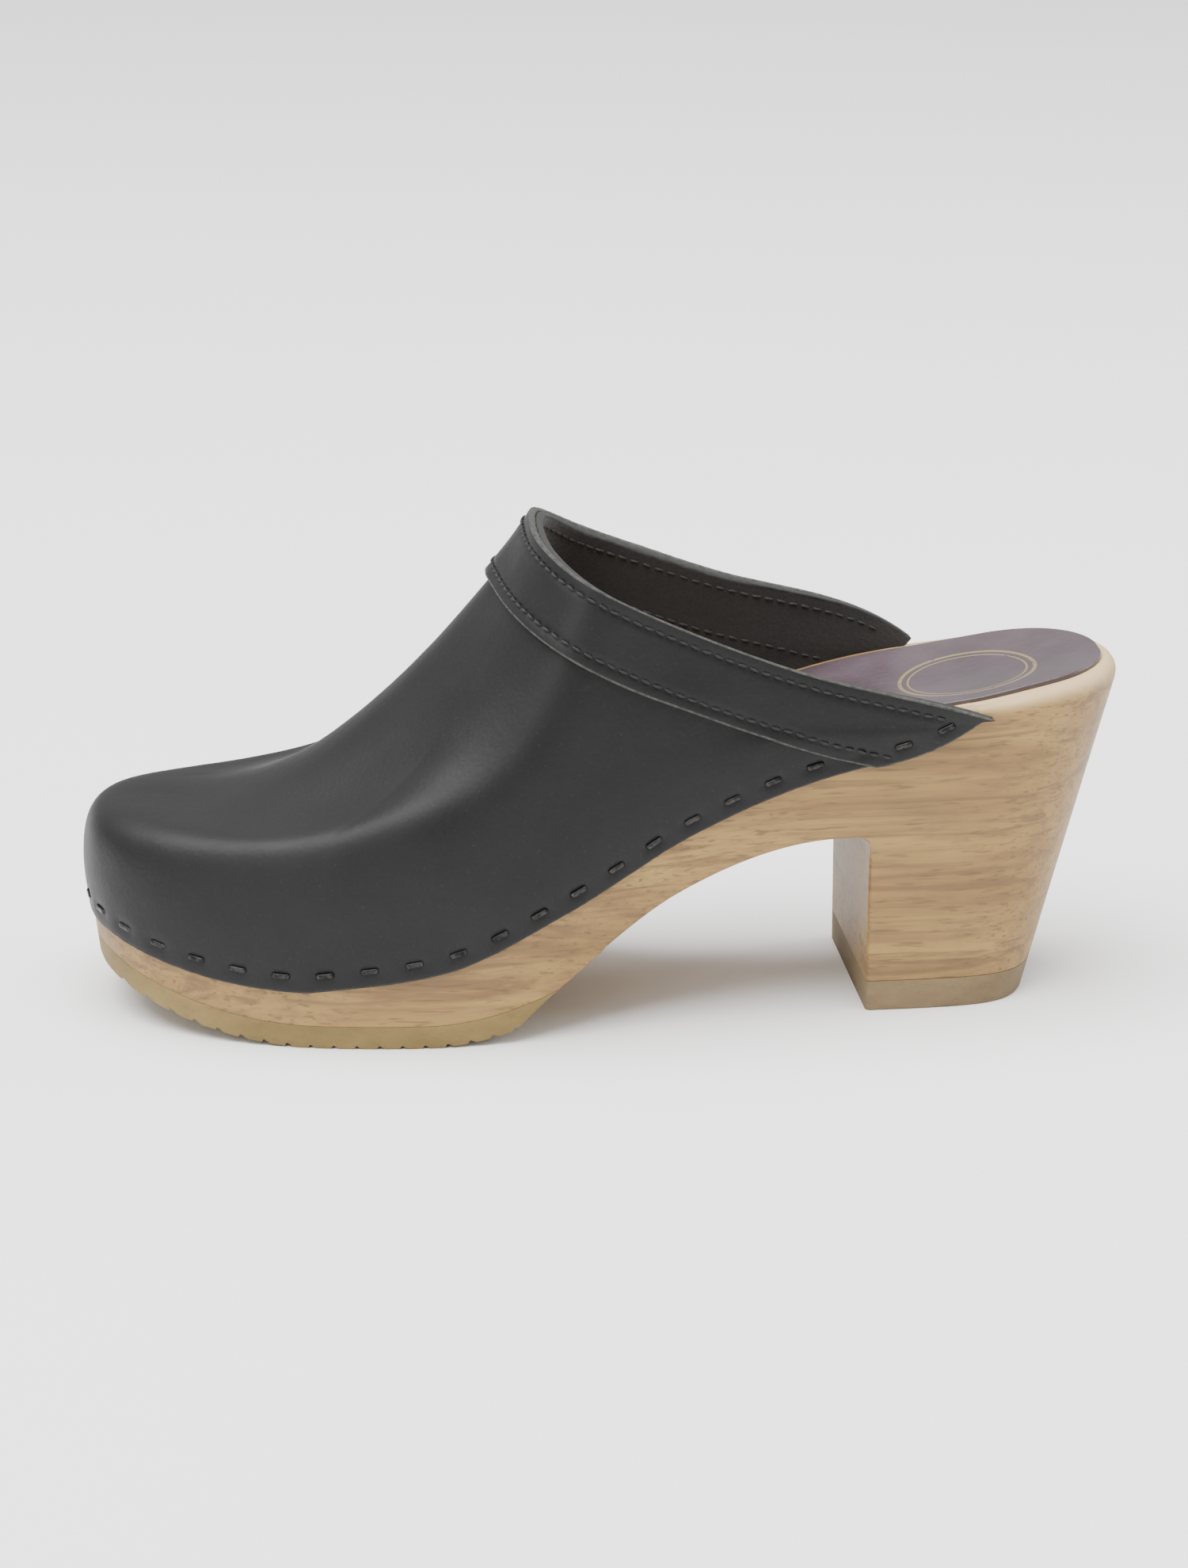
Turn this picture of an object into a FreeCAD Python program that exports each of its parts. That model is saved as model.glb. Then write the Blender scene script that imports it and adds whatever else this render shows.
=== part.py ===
import FreeCAD, Part
import math
import os
from FreeCAD import Vector

# Wooden mule clog, left shoe, in millimetres.
# Toe towards -X, heel towards +X, lateral side -Y, medial side +Y, floor at Z = 0.
# The shape functions below work in "along" millimetres from the toe (0) to the back of the heel.

SIZES = [
    ("clog_length", 241.8, "toe of the sole to the back of the heel"),
    ("ball_width", 91.5, "sole width across the ball"),
    ("waist_width", 62.0, "sole width at the waist"),
    ("seat_width", 62.5, "sole width at the heel seat"),
    ("ball_stack", 23.8, "rim height over the floor at the ball"),
    ("seat_height", 76.0, "rim height over the floor at the heel seat"),
    ("toe_lift", 9.8, "how far the rim rises from the ball to the toe"),
    ("toe_spring", 13.2, "how far the tread rises from the ball to the toe"),
    ("tread_start", "=clog_length * 0.21505", "where the flat of the tread starts"),
    ("tread_end", "=clog_length * 0.31431", "where the flat of the tread ends"),
    ("waist_thickness", 23.1, "sole thickness at its thinnest, in the arch"),
    ("arch_clearance", "=ball_stack + 0.6 * (seat_height - ball_stack) - waist_thickness",
     "height of the arch over the floor"),
    ("rear_roll", "=0.003219 * arch_clearance ^ 2", "rise of the tread over its last stretch"),
    ("rear_roll_run", "=clog_length * 0.090984", "length of that stretch"),
    ("breast_at", "=clog_length * 0.748553", "where the heel starts"),
    ("breast_fillet", 3.0, "fillet between the arch and the heel"),
    ("outsole_thickness", 5.4, "rubber under the forefoot"),
    ("tread_pitch", 5.2, "distance between tread ribs"),
    ("tread_depth", 0.8, "depth of the tread grooves"),
    ("lift_thickness", 7.2, "rubber under the heel"),
    ("cup_depth", 4.0, "how deep the footbed is dished"),
    ("toe_lean", 8.0, "lean of the toe wall, degrees"),
    ("side_lean", 2.5, "lean of the side walls, degrees"),
    ("heel_lean", 16.0, "lean of the back of the heel, degrees"),
    ("upper_lap", 10.4, "how far the leather laps over the wood"),
    ("rabbet_depth", 1.5, "how deep the leather is let into the wood"),
    ("upper_thickness", 2.2, "leather of the upper"),
    ("throat_rise", 72.2, "height of the throat over the rim below it"),
    ("collar_width", 17.4, "width of the collar band"),
    ("collar_thickness", 1.8, "leather of the collar band"),
    ("puff_thickness", 1.0, "stiffener behind the toe leather"),
    ("puff_length", "=clog_length * 0.25641", "how far the stiffener reaches back over the toe"),
    ("sock_thickness", 1.2, "leather of the heel sock"),
    ("sock_inset", 4.5, "wood left bare around the sock"),
    ("sock_inset_side", 5.0, "more wood left bare on the outer side of the foot"),
    ("sock_front", "=clog_length * 0.653433", "where the heel sock starts"),
    ("stitch_pitch", 3.0, "one stitch to the next"),
    ("stitch_length", 2.2, "length of a stitch"),
    ("thread_size", 0.6, "thickness of the thread"),
    ("stitch_margin", 3.0, "stitch row to the edge of the collar band"),
    ("staple_spacing", 10.3, "one staple to the next"),
    ("staple_crown", 4.4, "length of a staple's crown"),
    ("staple_wire", 1.2, "width of the staple wire"),
    ("staple_gauge", 0.6, "thickness of the staple wire"),
    ("staple_leg", 7.0, "length of a staple's legs below the leather's face"),
    ("staple_sink", 0.25, "how deep a staple's crown is pressed into the leather"),
    ("staple_margin", 3.9, "staple row to the lower edge of the leather"),
    ("fit_gap", 0.1, "clearance between pieces that lie on each other"),
]

doc = FreeCAD.newDocument("WoodenClog")
sheet = doc.addObject("Spreadsheet::Sheet", "Sizes")
for row, (alias, value, note) in enumerate(SIZES, start=1):
    sheet.set(f"A{row}", alias)
    sheet.set(f"B{row}", str(value))
    sheet.set(f"C{row}", note)
    sheet.setAlias(f"B{row}", alias)
doc.recompute()


def size(alias):
    return float(sheet.get(alias))


LENGTH = size("clog_length")
THICK = size("upper_thickness")
GAP = size("fit_gap")
LATERAL, MEDIAL = -1, 1

# Seen from above: share of the length and share of half the named width, from the back of the heel
# along the lateral side to the toe and back along the medial side.
OUTLINE = [
    (1.0, 0.0, "seat_width"), (0.99, -0.42, "seat_width"), (0.95, -0.82, "seat_width"),
    (0.875, -0.99, "seat_width"), (0.77, -1.02, "seat_width"), (0.64, -1.08, "waist_width"),
    (0.515, -0.86, "ball_width"), (0.405, -0.985, "ball_width"), (0.31, -1.012, "ball_width"),
    (0.207, -0.935, "ball_width"), (0.116, -0.755, "ball_width"), (0.05, -0.50, "ball_width"),
    (0.017, -0.22, "ball_width"), (0.009, 0.10, "ball_width"), (0.0225, 0.42, "ball_width"),
    (0.062, 0.665, "ball_width"), (0.13, 0.84, "ball_width"), (0.228, 0.94, "ball_width"),
    (0.33, 0.935, "ball_width"), (0.435, 0.81, "ball_width"), (0.54, 0.98, "waist_width"),
    (0.655, 0.91, "waist_width"), (0.77, 0.955, "seat_width"), (0.875, 0.975, "seat_width"),
    (0.95, 0.81, "seat_width"), (0.99, 0.42, "seat_width"),
]
TOE_STATION = 13                      # the outline point at the tip of the toe

# Rise of the rim from the ball to the heel seat: share of the length, share of the rise.
BALL_AT = 0.207
RIM_RISE = [(BALL_AT, 0.0), (0.331, 0.086), (0.455, 0.332), (0.579, 0.636), (0.703, 0.845),
            (0.765, 0.908), (0.827, 0.946), (0.91, 1.0), (1.0, 1.038)]

# The open top of the upper: share of the length, share of the sole's half width there, and
# share of the throat's rise over the rim, from the lateral tip round the throat to the medial tip.
TOPLINE = [
    (0.862, -1.06, -0.052), (0.785, -1.0, 0.055), (0.705, -0.97, 0.175), (0.62, -0.94, 0.375),
    (0.54, -0.91, 0.62), (0.478, -0.84, 0.85), (0.447, -0.52, 0.965), (0.4415, 0.05, 1.0),
    (0.455, 0.5, 0.95), (0.49, 0.80, 0.81), (0.56, 0.92, 0.59), (0.64, 0.97, 0.385),
    (0.72, 1.0, 0.23), (0.785, 1.05, 0.105), (0.825, 1.06, 0.0),
]
THROAT_STATION = 7                    # the topline point at the middle of the throat
TIP_AT = {LATERAL: 0.848, MEDIAL: 0.816}
SWEEP_RUN = 0.091                     # the lower edge sweeps up over this share before each tip
SWEEP_UP = 0.62                       # and loses this share of the lap there
FAN = 2.2                             # how strongly the lines of the upper gather at the throat
EVEN = 0.18                           # share of them that stays evenly spread

# Two kinds of line from the lower edge to the topline, over the toe and up the side: for each
# control point, the share of the way in and the share of the way up.
TOE_LINE = [(0.01, 0.33), (0.35, 0.225), (0.71, 0.545)]
SIDE_LINE = [(0.12, 0.50), (0.36, 0.72), (0.70, 0.88)]
TOE_BLEND_FROM = 0.2                  # share of the way to the toe where the change between them starts
STRAIGHT_RISE = 14.0                  # the leather follows the wood's wall up to this height
STRAIGHT_SHARE = 0.45                 # or this share of a low side


def smooth(points, x):
    """Monotone cubic curve through the points, carried on straight past both ends."""
    steps = list(zip(points, points[1:]))
    slopes = [(y1 - y0) / (x1 - x0) for (x0, y0), (x1, y1) in steps]
    tangents = [slopes[0]]
    for before, after in zip(slopes, slopes[1:]):
        tangents.append(0.0 if before * after <= 0 else 2 * before * after / (before + after))
    tangents.append(slopes[-1])
    if x <= points[0][0]:
        return points[0][1] + tangents[0] * (x - points[0][0])
    if x >= points[-1][0]:
        return points[-1][1] + tangents[-1] * (x - points[-1][0])
    at = max(index for index, point in enumerate(points) if point[0] <= x)
    (x0, y0), (x1, y1) = points[at], points[at + 1]
    run = x1 - x0
    part = (x - x0) / run
    rest = 1 - part
    return ((1 + 2 * part) * rest ** 2 * y0 + part * rest ** 2 * run * tangents[at]
            + part ** 2 * (3 - 2 * part) * y1 - part ** 2 * rest * run * tangents[at + 1])


def rim(along):
    """Height of the sole's upper rim."""
    ball = BALL_AT * LENGTH
    if along < ball:
        return size("ball_stack") + size("toe_lift") * ((ball - along) / ball) ** 2
    rise = size("seat_height") - size("ball_stack")
    return size("ball_stack") + rise * smooth(RIM_RISE, along / LENGTH)


def leather_edge(along, side):
    """Height of the upper's lower edge: one lap under the rim, sweeping up to the tip."""
    sweep = (along / LENGTH - TIP_AT[side] + SWEEP_RUN) / SWEEP_RUN
    return rim(along) - size("upper_lap") * (1 - SWEEP_UP * min(max(0.0, sweep), 1.2) ** 2)


def tread(along):
    """Underside of the forefoot: toe spring, a flat at the floor, and a roll behind it."""
    start, end = size("tread_start"), size("tread_end")
    if along < start:
        return size("toe_spring") * ((start - along) / start) ** 2
    if along > end:
        return size("rear_roll") * ((along - end) / size("rear_roll_run")) ** 2
    return 0.0


THINNEST = (0.558, 0.591)             # shares of the length between which the waist is thinnest
ARCH_RUN = (0.15302, 0.13648)         # from there, shares of it to the front and to the back
ARCH_EXTRA = (8.5, 3.9)               # the sole gets this much thicker


def arch(along):
    """Underside of the waist: the sole thins from the ball and thickens again at the heel."""
    before = max(0.0, THINNEST[0] - along / LENGTH) / ARCH_RUN[0]
    behind = max(0.0, along / LENGTH - THINNEST[1]) / ARCH_RUN[1]
    return rim(along) - size("waist_thickness") - ARCH_EXTRA[0] * before ** 2 - ARCH_EXTRA[1] * behind ** 2


def crossing(rising, falling, low, high):
    """Where two side profiles meet between low and high."""
    for _ in range(40):
        middle = (low + high) / 2
        if rising(middle) > falling(middle):
            high = middle
        else:
            low = middle
    return (low + high) / 2


def interpolated(points, knots=None, closed=False):
    curve = Part.BSplineCurve()
    if knots:
        curve.interpolate(Points=points, Parameters=knots, PeriodicFlag=closed)
    else:
        curve.interpolate(Points=points, PeriodicFlag=closed)
    return curve


def chord_knots(points):
    knots = [0.0]
    for before, after in zip(points, points[1:]):
        knots.append(knots[-1] + before.distanceToPoint(after))
    return knots


outline_points = [Vector(along * LENGTH, across * size(width) / 2, 0)
                  for along, across, width in OUTLINE]
OUTLINE_KNOTS = chord_knots(outline_points + outline_points[:1])
plan = interpolated(outline_points, OUTLINE_KNOTS, closed=True)
HEEL_PARAMETER = OUTLINE_KNOTS[-1]
TOE_PARAMETER = OUTLINE_KNOTS[TOE_STATION]
PLAN_DROP = 6.0                       # the outline is drawn this far under the rim
TOE_LEANS_FROM = 0.15                 # the toe's lean fades in over this share of the length
HEEL_LEANS_FROM = 0.72                # and the heel's lean from this share back


def wall_frame(parameter):
    """Outline point, outward direction, and the wall's way up for one unit of height."""
    point = plan.value(parameter)
    tangent = plan.tangent(parameter)[0]
    outward = Vector(-tangent.y, tangent.x, 0)
    share = point.x / LENGTH
    toe_share = max(0.0, 1 - share / TOE_LEANS_FROM) ** 1.5
    heel_share = max(0.0, (share - HEEL_LEANS_FROM) / (1 - HEEL_LEANS_FROM)) ** 1.5
    lean_along = (math.tan(math.radians(size("heel_lean"))) * heel_share
                  - math.tan(math.radians(size("toe_lean"))) * toe_share)
    lean_across = math.tan(math.radians(size("side_lean"))) * outward.y
    return point, outward, Vector(lean_along, lean_across, 1)


def wall(parameter, height, inset=0.0):
    """Point of the sole's side wall at a height, moved inwards by inset."""
    point, outward, upright = wall_frame(parameter)
    climb = height - rim(point.x) + PLAN_DROP
    place = point + upright * climb - outward * inset
    return Vector(place.x, place.y, height)


def parameter_at(along, side):
    """Outline parameter where one side passes a place along the sole."""
    low, high = (0.0 if side == LATERAL else HEEL_PARAMETER), TOE_PARAMETER
    for _ in range(40):
        middle = (low + high) / 2
        if plan.value(middle).x > along:
            low = middle
        else:
            high = middle
    return low


def half_width(along, side):
    """Distance from the centre line to the outline on one side."""
    return abs(plan.value(parameter_at(along, side)).y)


# ---------------------------------------------------------------- the upper's surface

def topline_point(along_share, across_share, rise_share):
    along = along_share * LENGTH
    side = LATERAL if across_share < 0 else MEDIAL
    return Vector(along, across_share * half_width(along, side),
                  rim(along) + size("throat_rise") * rise_share)


topline_points = [topline_point(*station) for station in TOPLINE]
TOPLINE_KNOTS = chord_knots(topline_points)
topline = interpolated(topline_points, TOPLINE_KNOTS)
TIP_PARAMETER = {side: parameter_at(TIP_AT[side] * LENGTH, side) for side in (LATERAL, MEDIAL)}
TOP_END = {LATERAL: TOPLINE_KNOTS[0], MEDIAL: TOPLINE_KNOTS[-1]}
THROAT_PARAMETER = TOPLINE_KNOTS[THROAT_STATION]
PROUD = THICK + GAP - size("rabbet_depth")


def side_and_place(across):
    """across runs from 0 at the lateral tip over 0.5 at the toe to 1 at the medial tip."""
    return (LATERAL, across * 2) if across < 0.5 else (MEDIAL, 2 - across * 2)


def foot_parameter(across):
    side, place = side_and_place(across)
    return TIP_PARAMETER[side] + (TOE_PARAMETER - TIP_PARAMETER[side]) * place


def upper_line(across):
    """One line of the upper's outer face, from its lower edge to the topline."""
    side, place = side_and_place(across)
    point, _, upright = wall_frame(foot_parameter(across))
    foot = wall(foot_parameter(across), leather_edge(point.x, side), -PROUD)
    gathered = 1 - (1 - EVEN) * (1 - place) ** FAN - EVEN * (1 - place)
    head = topline.value(TOP_END[side] + (THROAT_PARAMETER - TOP_END[side]) * gathered)
    rise = head.z - foot.z
    inward = Vector(head.x - foot.x, head.y - foot.y, 0)
    straight = min(STRAIGHT_RISE, rise * STRAIGHT_SHARE)
    poles = [foot, foot + upright * (straight * 0.4), foot + upright * straight]
    blend = max(0.0, (place - TOE_BLEND_FROM) / (1 - TOE_BLEND_FROM))
    toe_share = blend * blend * (3 - 2 * blend)
    for (toe_in, toe_up), (side_in, side_up) in zip(TOE_LINE, SIDE_LINE):
        share_in = toe_in * toe_share + side_in * (1 - toe_share)
        share_up = toe_up * toe_share + side_up * (1 - toe_share)
        poles.append(foot + inward * share_in + Vector(0, 0, rise * share_up))
    poles.append(head)
    line = Part.BSplineCurve()
    line.buildFromPolesMultsKnots(poles, [4, 1, 1, 1, 4], [0, 0.25, 0.5, 0.75, 1], False, 3)
    return line


NUDGE = 0.002                         # step for the directions of the surface
TIP_STRETCH = 0.10                    # near a tip the leather faces the way the wood's wall does


def upper_point(across, up, offset=0.0):
    """Point at an offset from the outer face; up runs from 0 at its edge to 1 at the topline."""
    line = upper_line(across)
    before, after = max(0.0, across - NUDGE), min(1.0, across + NUDGE)
    sideways = upper_line(after).value(up) - upper_line(before).value(up)
    outward = line.tangent(up)[0].cross(sideways).normalize()
    _, place = side_and_place(across)
    share = min(1.0, place / TIP_STRETCH)
    _, wall_outward, _ = wall_frame(foot_parameter(across))
    outward = outward * share + wall_outward * (1 - share)
    return line.value(up) + outward.normalize() * offset


def up_at_distance(across, distance):
    """How far up a line lies a place at a distance below the topline, 0 where the line is shorter."""
    line = upper_line(across)
    if line.length() <= distance:
        return 0.0
    return line.parameterAtDistance(line.length() - distance)


def grid_of(offset, low, high, first=0.0, last=1.0, columns=49, rows=15):
    """Points at an offset from the outer face, between the heights low(across) and high(across)."""
    grid = []
    for column in range(columns):
        across = first + (last - first) * column / (columns - 1)
        bottom, top = low(across), high(across)
        heights = [bottom + (top - bottom) * row / (rows - 1) for row in range(rows)]
        grid.append([upper_point(across, up, offset) for up in heights])
    return grid


def surface_of(grid):
    """Surface through a grid of points, evenly spread in both of its directions."""
    rows, columns = list(range(len(grid[0]))), list(range(len(grid)))
    lengthwise = [interpolated(line, rows) for line in grid]
    across_poles = zip(*[line.getPoles() for line in lengthwise])
    crosswise = [interpolated(list(poles), columns) for poles in across_poles]
    poles = [list(column) for column in zip(*[line.getPoles() for line in crosswise])]
    one_cross, one_length = crosswise[0], lengthwise[0]
    surface = Part.BSplineSurface()
    surface.buildFromPolesMultsKnots(poles, one_cross.getMultiplicities(), one_length.getMultiplicities(),
                                     one_cross.getKnots(), one_length.getKnots(), False, False, 3, 3)
    return surface


def borders_of(surface):
    """The four border edges of a surface, in a fixed order."""
    u0, u1, v0, v1 = surface.bounds()
    return [curve.toShape() for curve in (surface.vIso(v0), surface.vIso(v1),
                                          surface.uIso(u0), surface.uIso(u1))]


def add_feature(name, shape):
    piece = doc.addObject("Part::Feature", name)
    piece.Shape = shape
    return piece


def closed_solid(name, faces):
    """Solid from faces that share their borders."""
    shell = Part.Shell(faces)
    shell.sewShape()
    solid = Part.Solid(shell)
    if solid.Volume < 0:
        solid.reverse()
    return add_feature(name, solid)


def layer(name, outside, inside):
    """Closed solid between two grids of points that face each other."""
    skins = [surface_of(outside), surface_of(inside)]
    faces = [skin.toShape() for skin in skins]
    for outer_border, inner_border in zip(borders_of(skins[0]), borders_of(skins[1])):
        faces.append(Part.makeRuledSurface(outer_border, inner_border, 1))
    return closed_solid(name, faces)


def operation(kind, name, **links):
    """A Part boolean whose inputs are other objects of the document."""
    result = doc.addObject(kind, name)
    for link, value in links.items():
        setattr(result, link, value)
    return result


# ---------------------------------------------------------------- the sole

BLANK_SHARE = 1.3                     # height of the blank as a share of the heel seat's
TOP_OF_BLANK = size("seat_height") * BLANK_SHARE
FAR = 40.0                            # how far the cutting shapes run past the toe and the heel


WALL_SPLITS = (0, 4, 8, TOE_STATION, 18, 22, len(OUTLINE))   # outline points where wall faces meet


def plan_edges(height):
    """The outline at a height, in one edge for each face of the wall."""
    points = [wall(knot, height) for knot in OUTLINE_KNOTS[:-1]]
    curve = interpolated(points, OUTLINE_KNOTS, closed=True)
    return [curve.toShape(OUTLINE_KNOTS[first], OUTLINE_KNOTS[last])
            for first, last in zip(WALL_SPLITS, WALL_SPLITS[1:])]


def blank(name):
    """The sole's side walls as a solid, from the floor to above the rim."""
    feet, heads = plan_edges(0.0), plan_edges(TOP_OF_BLANK)
    faces = [Part.makeRuledSurface(foot, head, 1) for foot, head in zip(feet, heads)]
    faces += [Part.Face(Part.Wire(feet)), Part.Face(Part.Wire(heads))]
    return closed_solid(name, faces)


def profile_edge(height, start, end, steps=8):
    """Edge in the side view through points of a height function."""
    points = []
    for index in range(steps + 1):
        along = start + (end - start) * index / steps
        points.append(Vector(along, 0, height(along)))
    return interpolated(points).toShape()


def lines(*corners):
    points = [Vector(along, 0, height) for along, height in corners]
    return [Part.makeLine(before, after) for before, after in zip(points, points[1:])]


def extrusion(name, shape, direction, length):
    """A flat or curved face run along a direction, over a length written with the sizes."""
    run = doc.addObject("Part::Extrusion", name)
    run.Base = add_feature(name + "_profile", shape)
    run.DirMode = "Custom"
    run.Dir = direction
    run.Solid = True
    run.setExpression("LengthFwd", length)
    return run


def slab(name, edges):
    """Closed side profile run across the clog."""
    face = Part.Face(Part.Wire(Part.__sortEdges__(edges)))
    run = extrusion(name, face, Vector(0, 1, 0), "Sizes.ball_width * 2")
    run.setExpression("Placement.Base.y", "-Sizes.ball_width")
    return run


def outsole_top(along):
    return tread(along) + size("outsole_thickness")


RUBBER_END = crossing(arch, tread, size("tread_end"), 0.5 * LENGTH)
WOOD_END = crossing(arch, outsole_top, size("tread_end"), 0.5 * LENGTH)
BREAST = size("breast_at")
LIFT = size("lift_thickness")
FILLET = size("breast_fillet")
FRONT = -FAR
BACK = LENGTH + FAR
TRIM = 1.0                            # the side profile ends this far under the top of the blank
RIB_SHARE = 0.62                      # flat of a tread rib, as a share of the pitch
RIB_SLOPE = 0.1                       # steep side of a groove, as a share of the pitch


def wood_profile():
    """Wood between the rubber and the top: forefoot, arch, breast and heel."""
    hollow_end = BREAST - FILLET
    roof = arch(hollow_end)
    centre = Vector(hollow_end, 0, roof - FILLET)
    corner = Part.Arc(Vector(hollow_end, 0, roof),
                      centre + Vector(math.sin(math.pi / 4), 0, math.sin(math.pi / 4)) * FILLET,
                      Vector(BREAST, 0, roof - FILLET)).toShape()
    edges = [profile_edge(outsole_top, FRONT, size("tread_start"), 6),
             Part.makeLine(Vector(size("tread_start"), 0, outsole_top(size("tread_start"))),
                           Vector(size("tread_end"), 0, outsole_top(size("tread_end")))),
             profile_edge(outsole_top, size("tread_end"), WOOD_END, 4),
             profile_edge(arch, WOOD_END, hollow_end), corner]
    top = TOP_OF_BLANK - TRIM
    edges += lines((BREAST, roof - FILLET), (BREAST, LIFT), (BACK, LIFT), (BACK, top), (FRONT, top),
                   (FRONT, outsole_top(FRONT)))
    return edges


def outsole_profile():
    """Rubber under the forefoot, its underside cut into ribs across the sole."""
    pitch, depth = size("tread_pitch"), size("tread_depth")
    start, end = size("tread_start"), size("tread_end")
    corners = [(FRONT, outsole_top(FRONT))]
    along = start - pitch * math.floor((start - FRONT) / pitch)
    while along + pitch < RUBBER_END:
        flat = along + RIB_SHARE * pitch
        groove = (flat + RIB_SLOPE * pitch, tread(flat) + depth)
        corners += [(along, tread(along)), (flat, tread(flat)), groove]
        along += pitch
    corners += [(along, tread(along)), (RUBBER_END, tread(RUBBER_END))]
    return lines(*corners) + [
        profile_edge(arch, RUBBER_END, WOOD_END, 3),
        profile_edge(outsole_top, end, WOOD_END, 4),
        Part.makeLine(Vector(start, 0, outsole_top(start)), Vector(end, 0, outsole_top(end))),
        profile_edge(outsole_top, FRONT, start, 6)]


RABBET_REACH = 6.0                    # the rabbet's cutter runs this far outside the wood
RABBET_RISE = 12.0                    # and this far over the rim


def rabbet_grid(inset, columns=49, rows=5):
    """Sheet along the wall at an inset, from under the leather's lower edge to over the rim."""
    grid = []
    for column in range(columns):
        across = column / (columns - 1)
        side, _ = side_and_place(across)
        parameter = foot_parameter(across)
        along = plan.value(parameter).x
        low, high = leather_edge(along, side) - GAP, rim(along) + RABBET_RISE
        grid.append([wall(parameter, low + (high - low) * row / (rows - 1), inset) for row in range(rows)])
    return grid


CUP_ENDS = (0.05, 0.9)                # the dish keeps its width before and after these shares
CUP_RIM = 3.0                         # the dish meets the rim's height this far outside the wood
CUP_BACK = 0.85                       # from this share on, the dish closes towards the back
FOOTBED_MARGIN = 10.0                 # how far the footbed surface runs past the toe and the heel


def footbed_height(along, across):
    """Dished top of the sole, up to the rim at its sides and at the back of the heel."""
    side = LATERAL if across < 0 else MEDIAL
    inside = min(max(along, CUP_ENDS[0] * LENGTH), CUP_ENDS[1] * LENGTH)
    reach = half_width(inside, side) + CUP_RIM
    back = max(0.0, along - CUP_BACK * LENGTH) / ((1 - CUP_BACK) * LENGTH)
    return rim(along) - size("cup_depth") * (1 - (across / reach) ** 2 - back ** 2)


def footbed_face(columns=34, rows=12):
    grid = []
    for column in range(columns):
        along = -FOOTBED_MARGIN + (LENGTH + 2 * FOOTBED_MARGIN) * column / (columns - 1)
        grid.append([])
        for row in range(rows):
            across = size("ball_width") * 0.72 * (2 * row / (rows - 1) - 1)
            grid[-1].append(Vector(along, across, footbed_height(along, across)))
    return surface_of(grid).toShape()


sole_blank = blank("sole_blank")
wood_slab = slab("wood_slab", wood_profile())
footbed = footbed_face()
above_footbed = extrusion("above_footbed", footbed, Vector(0, 0, 1), "Sizes.seat_height * 1.3")
sole_rough = operation("Part::MultiCommon", "sole_rough", Shapes=[sole_blank, wood_slab])
sole_bedded = operation("Part::Cut", "sole_bedded", Base=sole_rough, Tool=above_footbed)
rabbet = layer("rabbet", rabbet_grid(-RABBET_REACH), rabbet_grid(size("rabbet_depth")))
sole_shaped = operation("Part::Cut", "sole_shaped", Base=sole_bedded, Tool=rabbet)

outsole_slab = slab("outsole_slab", outsole_profile())
forefoot_outsole = operation("Part::MultiCommon", "forefoot_outsole", Shapes=[sole_blank, outsole_slab])

lift_slab = doc.addObject("Part::Box", "lift_slab")
lift_slab.setExpression("Length", "Sizes.clog_length")
lift_slab.setExpression("Width", "Sizes.seat_width * 2")
lift_slab.setExpression("Height", "Sizes.lift_thickness")
lift_slab.setExpression("Placement.Base.x", "Sizes.breast_at")
lift_slab.setExpression("Placement.Base.y", "-Sizes.seat_width")
heel_lift = operation("Part::MultiCommon", "heel_lift", Shapes=[sole_blank, lift_slab])

# ---------------------------------------------------------------- the leather

COLLAR = size("collar_thickness")
BAND = size("collar_width")


def edge_row(across):
    return 0.0


def top_row(across):
    return 1.0


def collar_foot(across):
    return up_at_distance(across, BAND)


def upper_grid(offset):
    return grid_of(offset, edge_row, top_row)


def collar_grid(offset):
    return grid_of(offset, collar_foot, top_row, rows=9)


PUFF_SIDES = (0.39, 0.61)             # the stiffener's two ends, round the toe
PUFF_LIMIT = 0.5                      # it covers at most this share of a line of the upper
PUFF_RIM_GAP = 2.0                    # it starts this far above the wood's rim
PUFF_FOOT_LIMIT = 0.3                 # or at this share of a short line


def puff_back(across):
    """The stiffener covers the toe and tapers off along its sides."""
    line = upper_line(across)
    return line.parameterAtDistance(min(size("puff_length"), line.length() * PUFF_LIMIT))


def puff_foot(across):
    line = upper_line(across)
    start = size("upper_lap") + PUFF_RIM_GAP
    return line.parameterAtDistance(min(start, line.length() * PUFF_FOOT_LIMIT))


def puff_grid(offset):
    return grid_of(offset, puff_foot, puff_back, *PUFF_SIDES, columns=17, rows=13)


BEHIND = -THICK - GAP
upper_whole = layer("upper_whole", upper_grid(0.0), upper_grid(-THICK))
collar_whole = layer("collar_whole", collar_grid(GAP + COLLAR), collar_grid(GAP))
toe_puff = layer("toe_puff", puff_grid(BEHIND), puff_grid(BEHIND - size("puff_thickness")))

# ---------------------------------------------------------------- staples and stitches


def bar(centre, length_way, width_way, length, width, height):
    """Straight bar: length and width along two directions, height along the third."""
    height_way = length_way.cross(width_way)
    turn = FreeCAD.Rotation(length_way, width_way, height_way, "XYZ")
    box = Part.makeBox(length, width, height, Vector(-length / 2, -width / 2, -height / 2))
    box.Placement = FreeCAD.Placement(centre, turn).multiply(box.Placement)
    return box


def arc_lengths(point_at, steps=400):
    """Distance run along a curve at even steps of its parameter."""
    points = [point_at(index / steps) for index in range(steps + 1)]
    return chord_knots(points)


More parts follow.
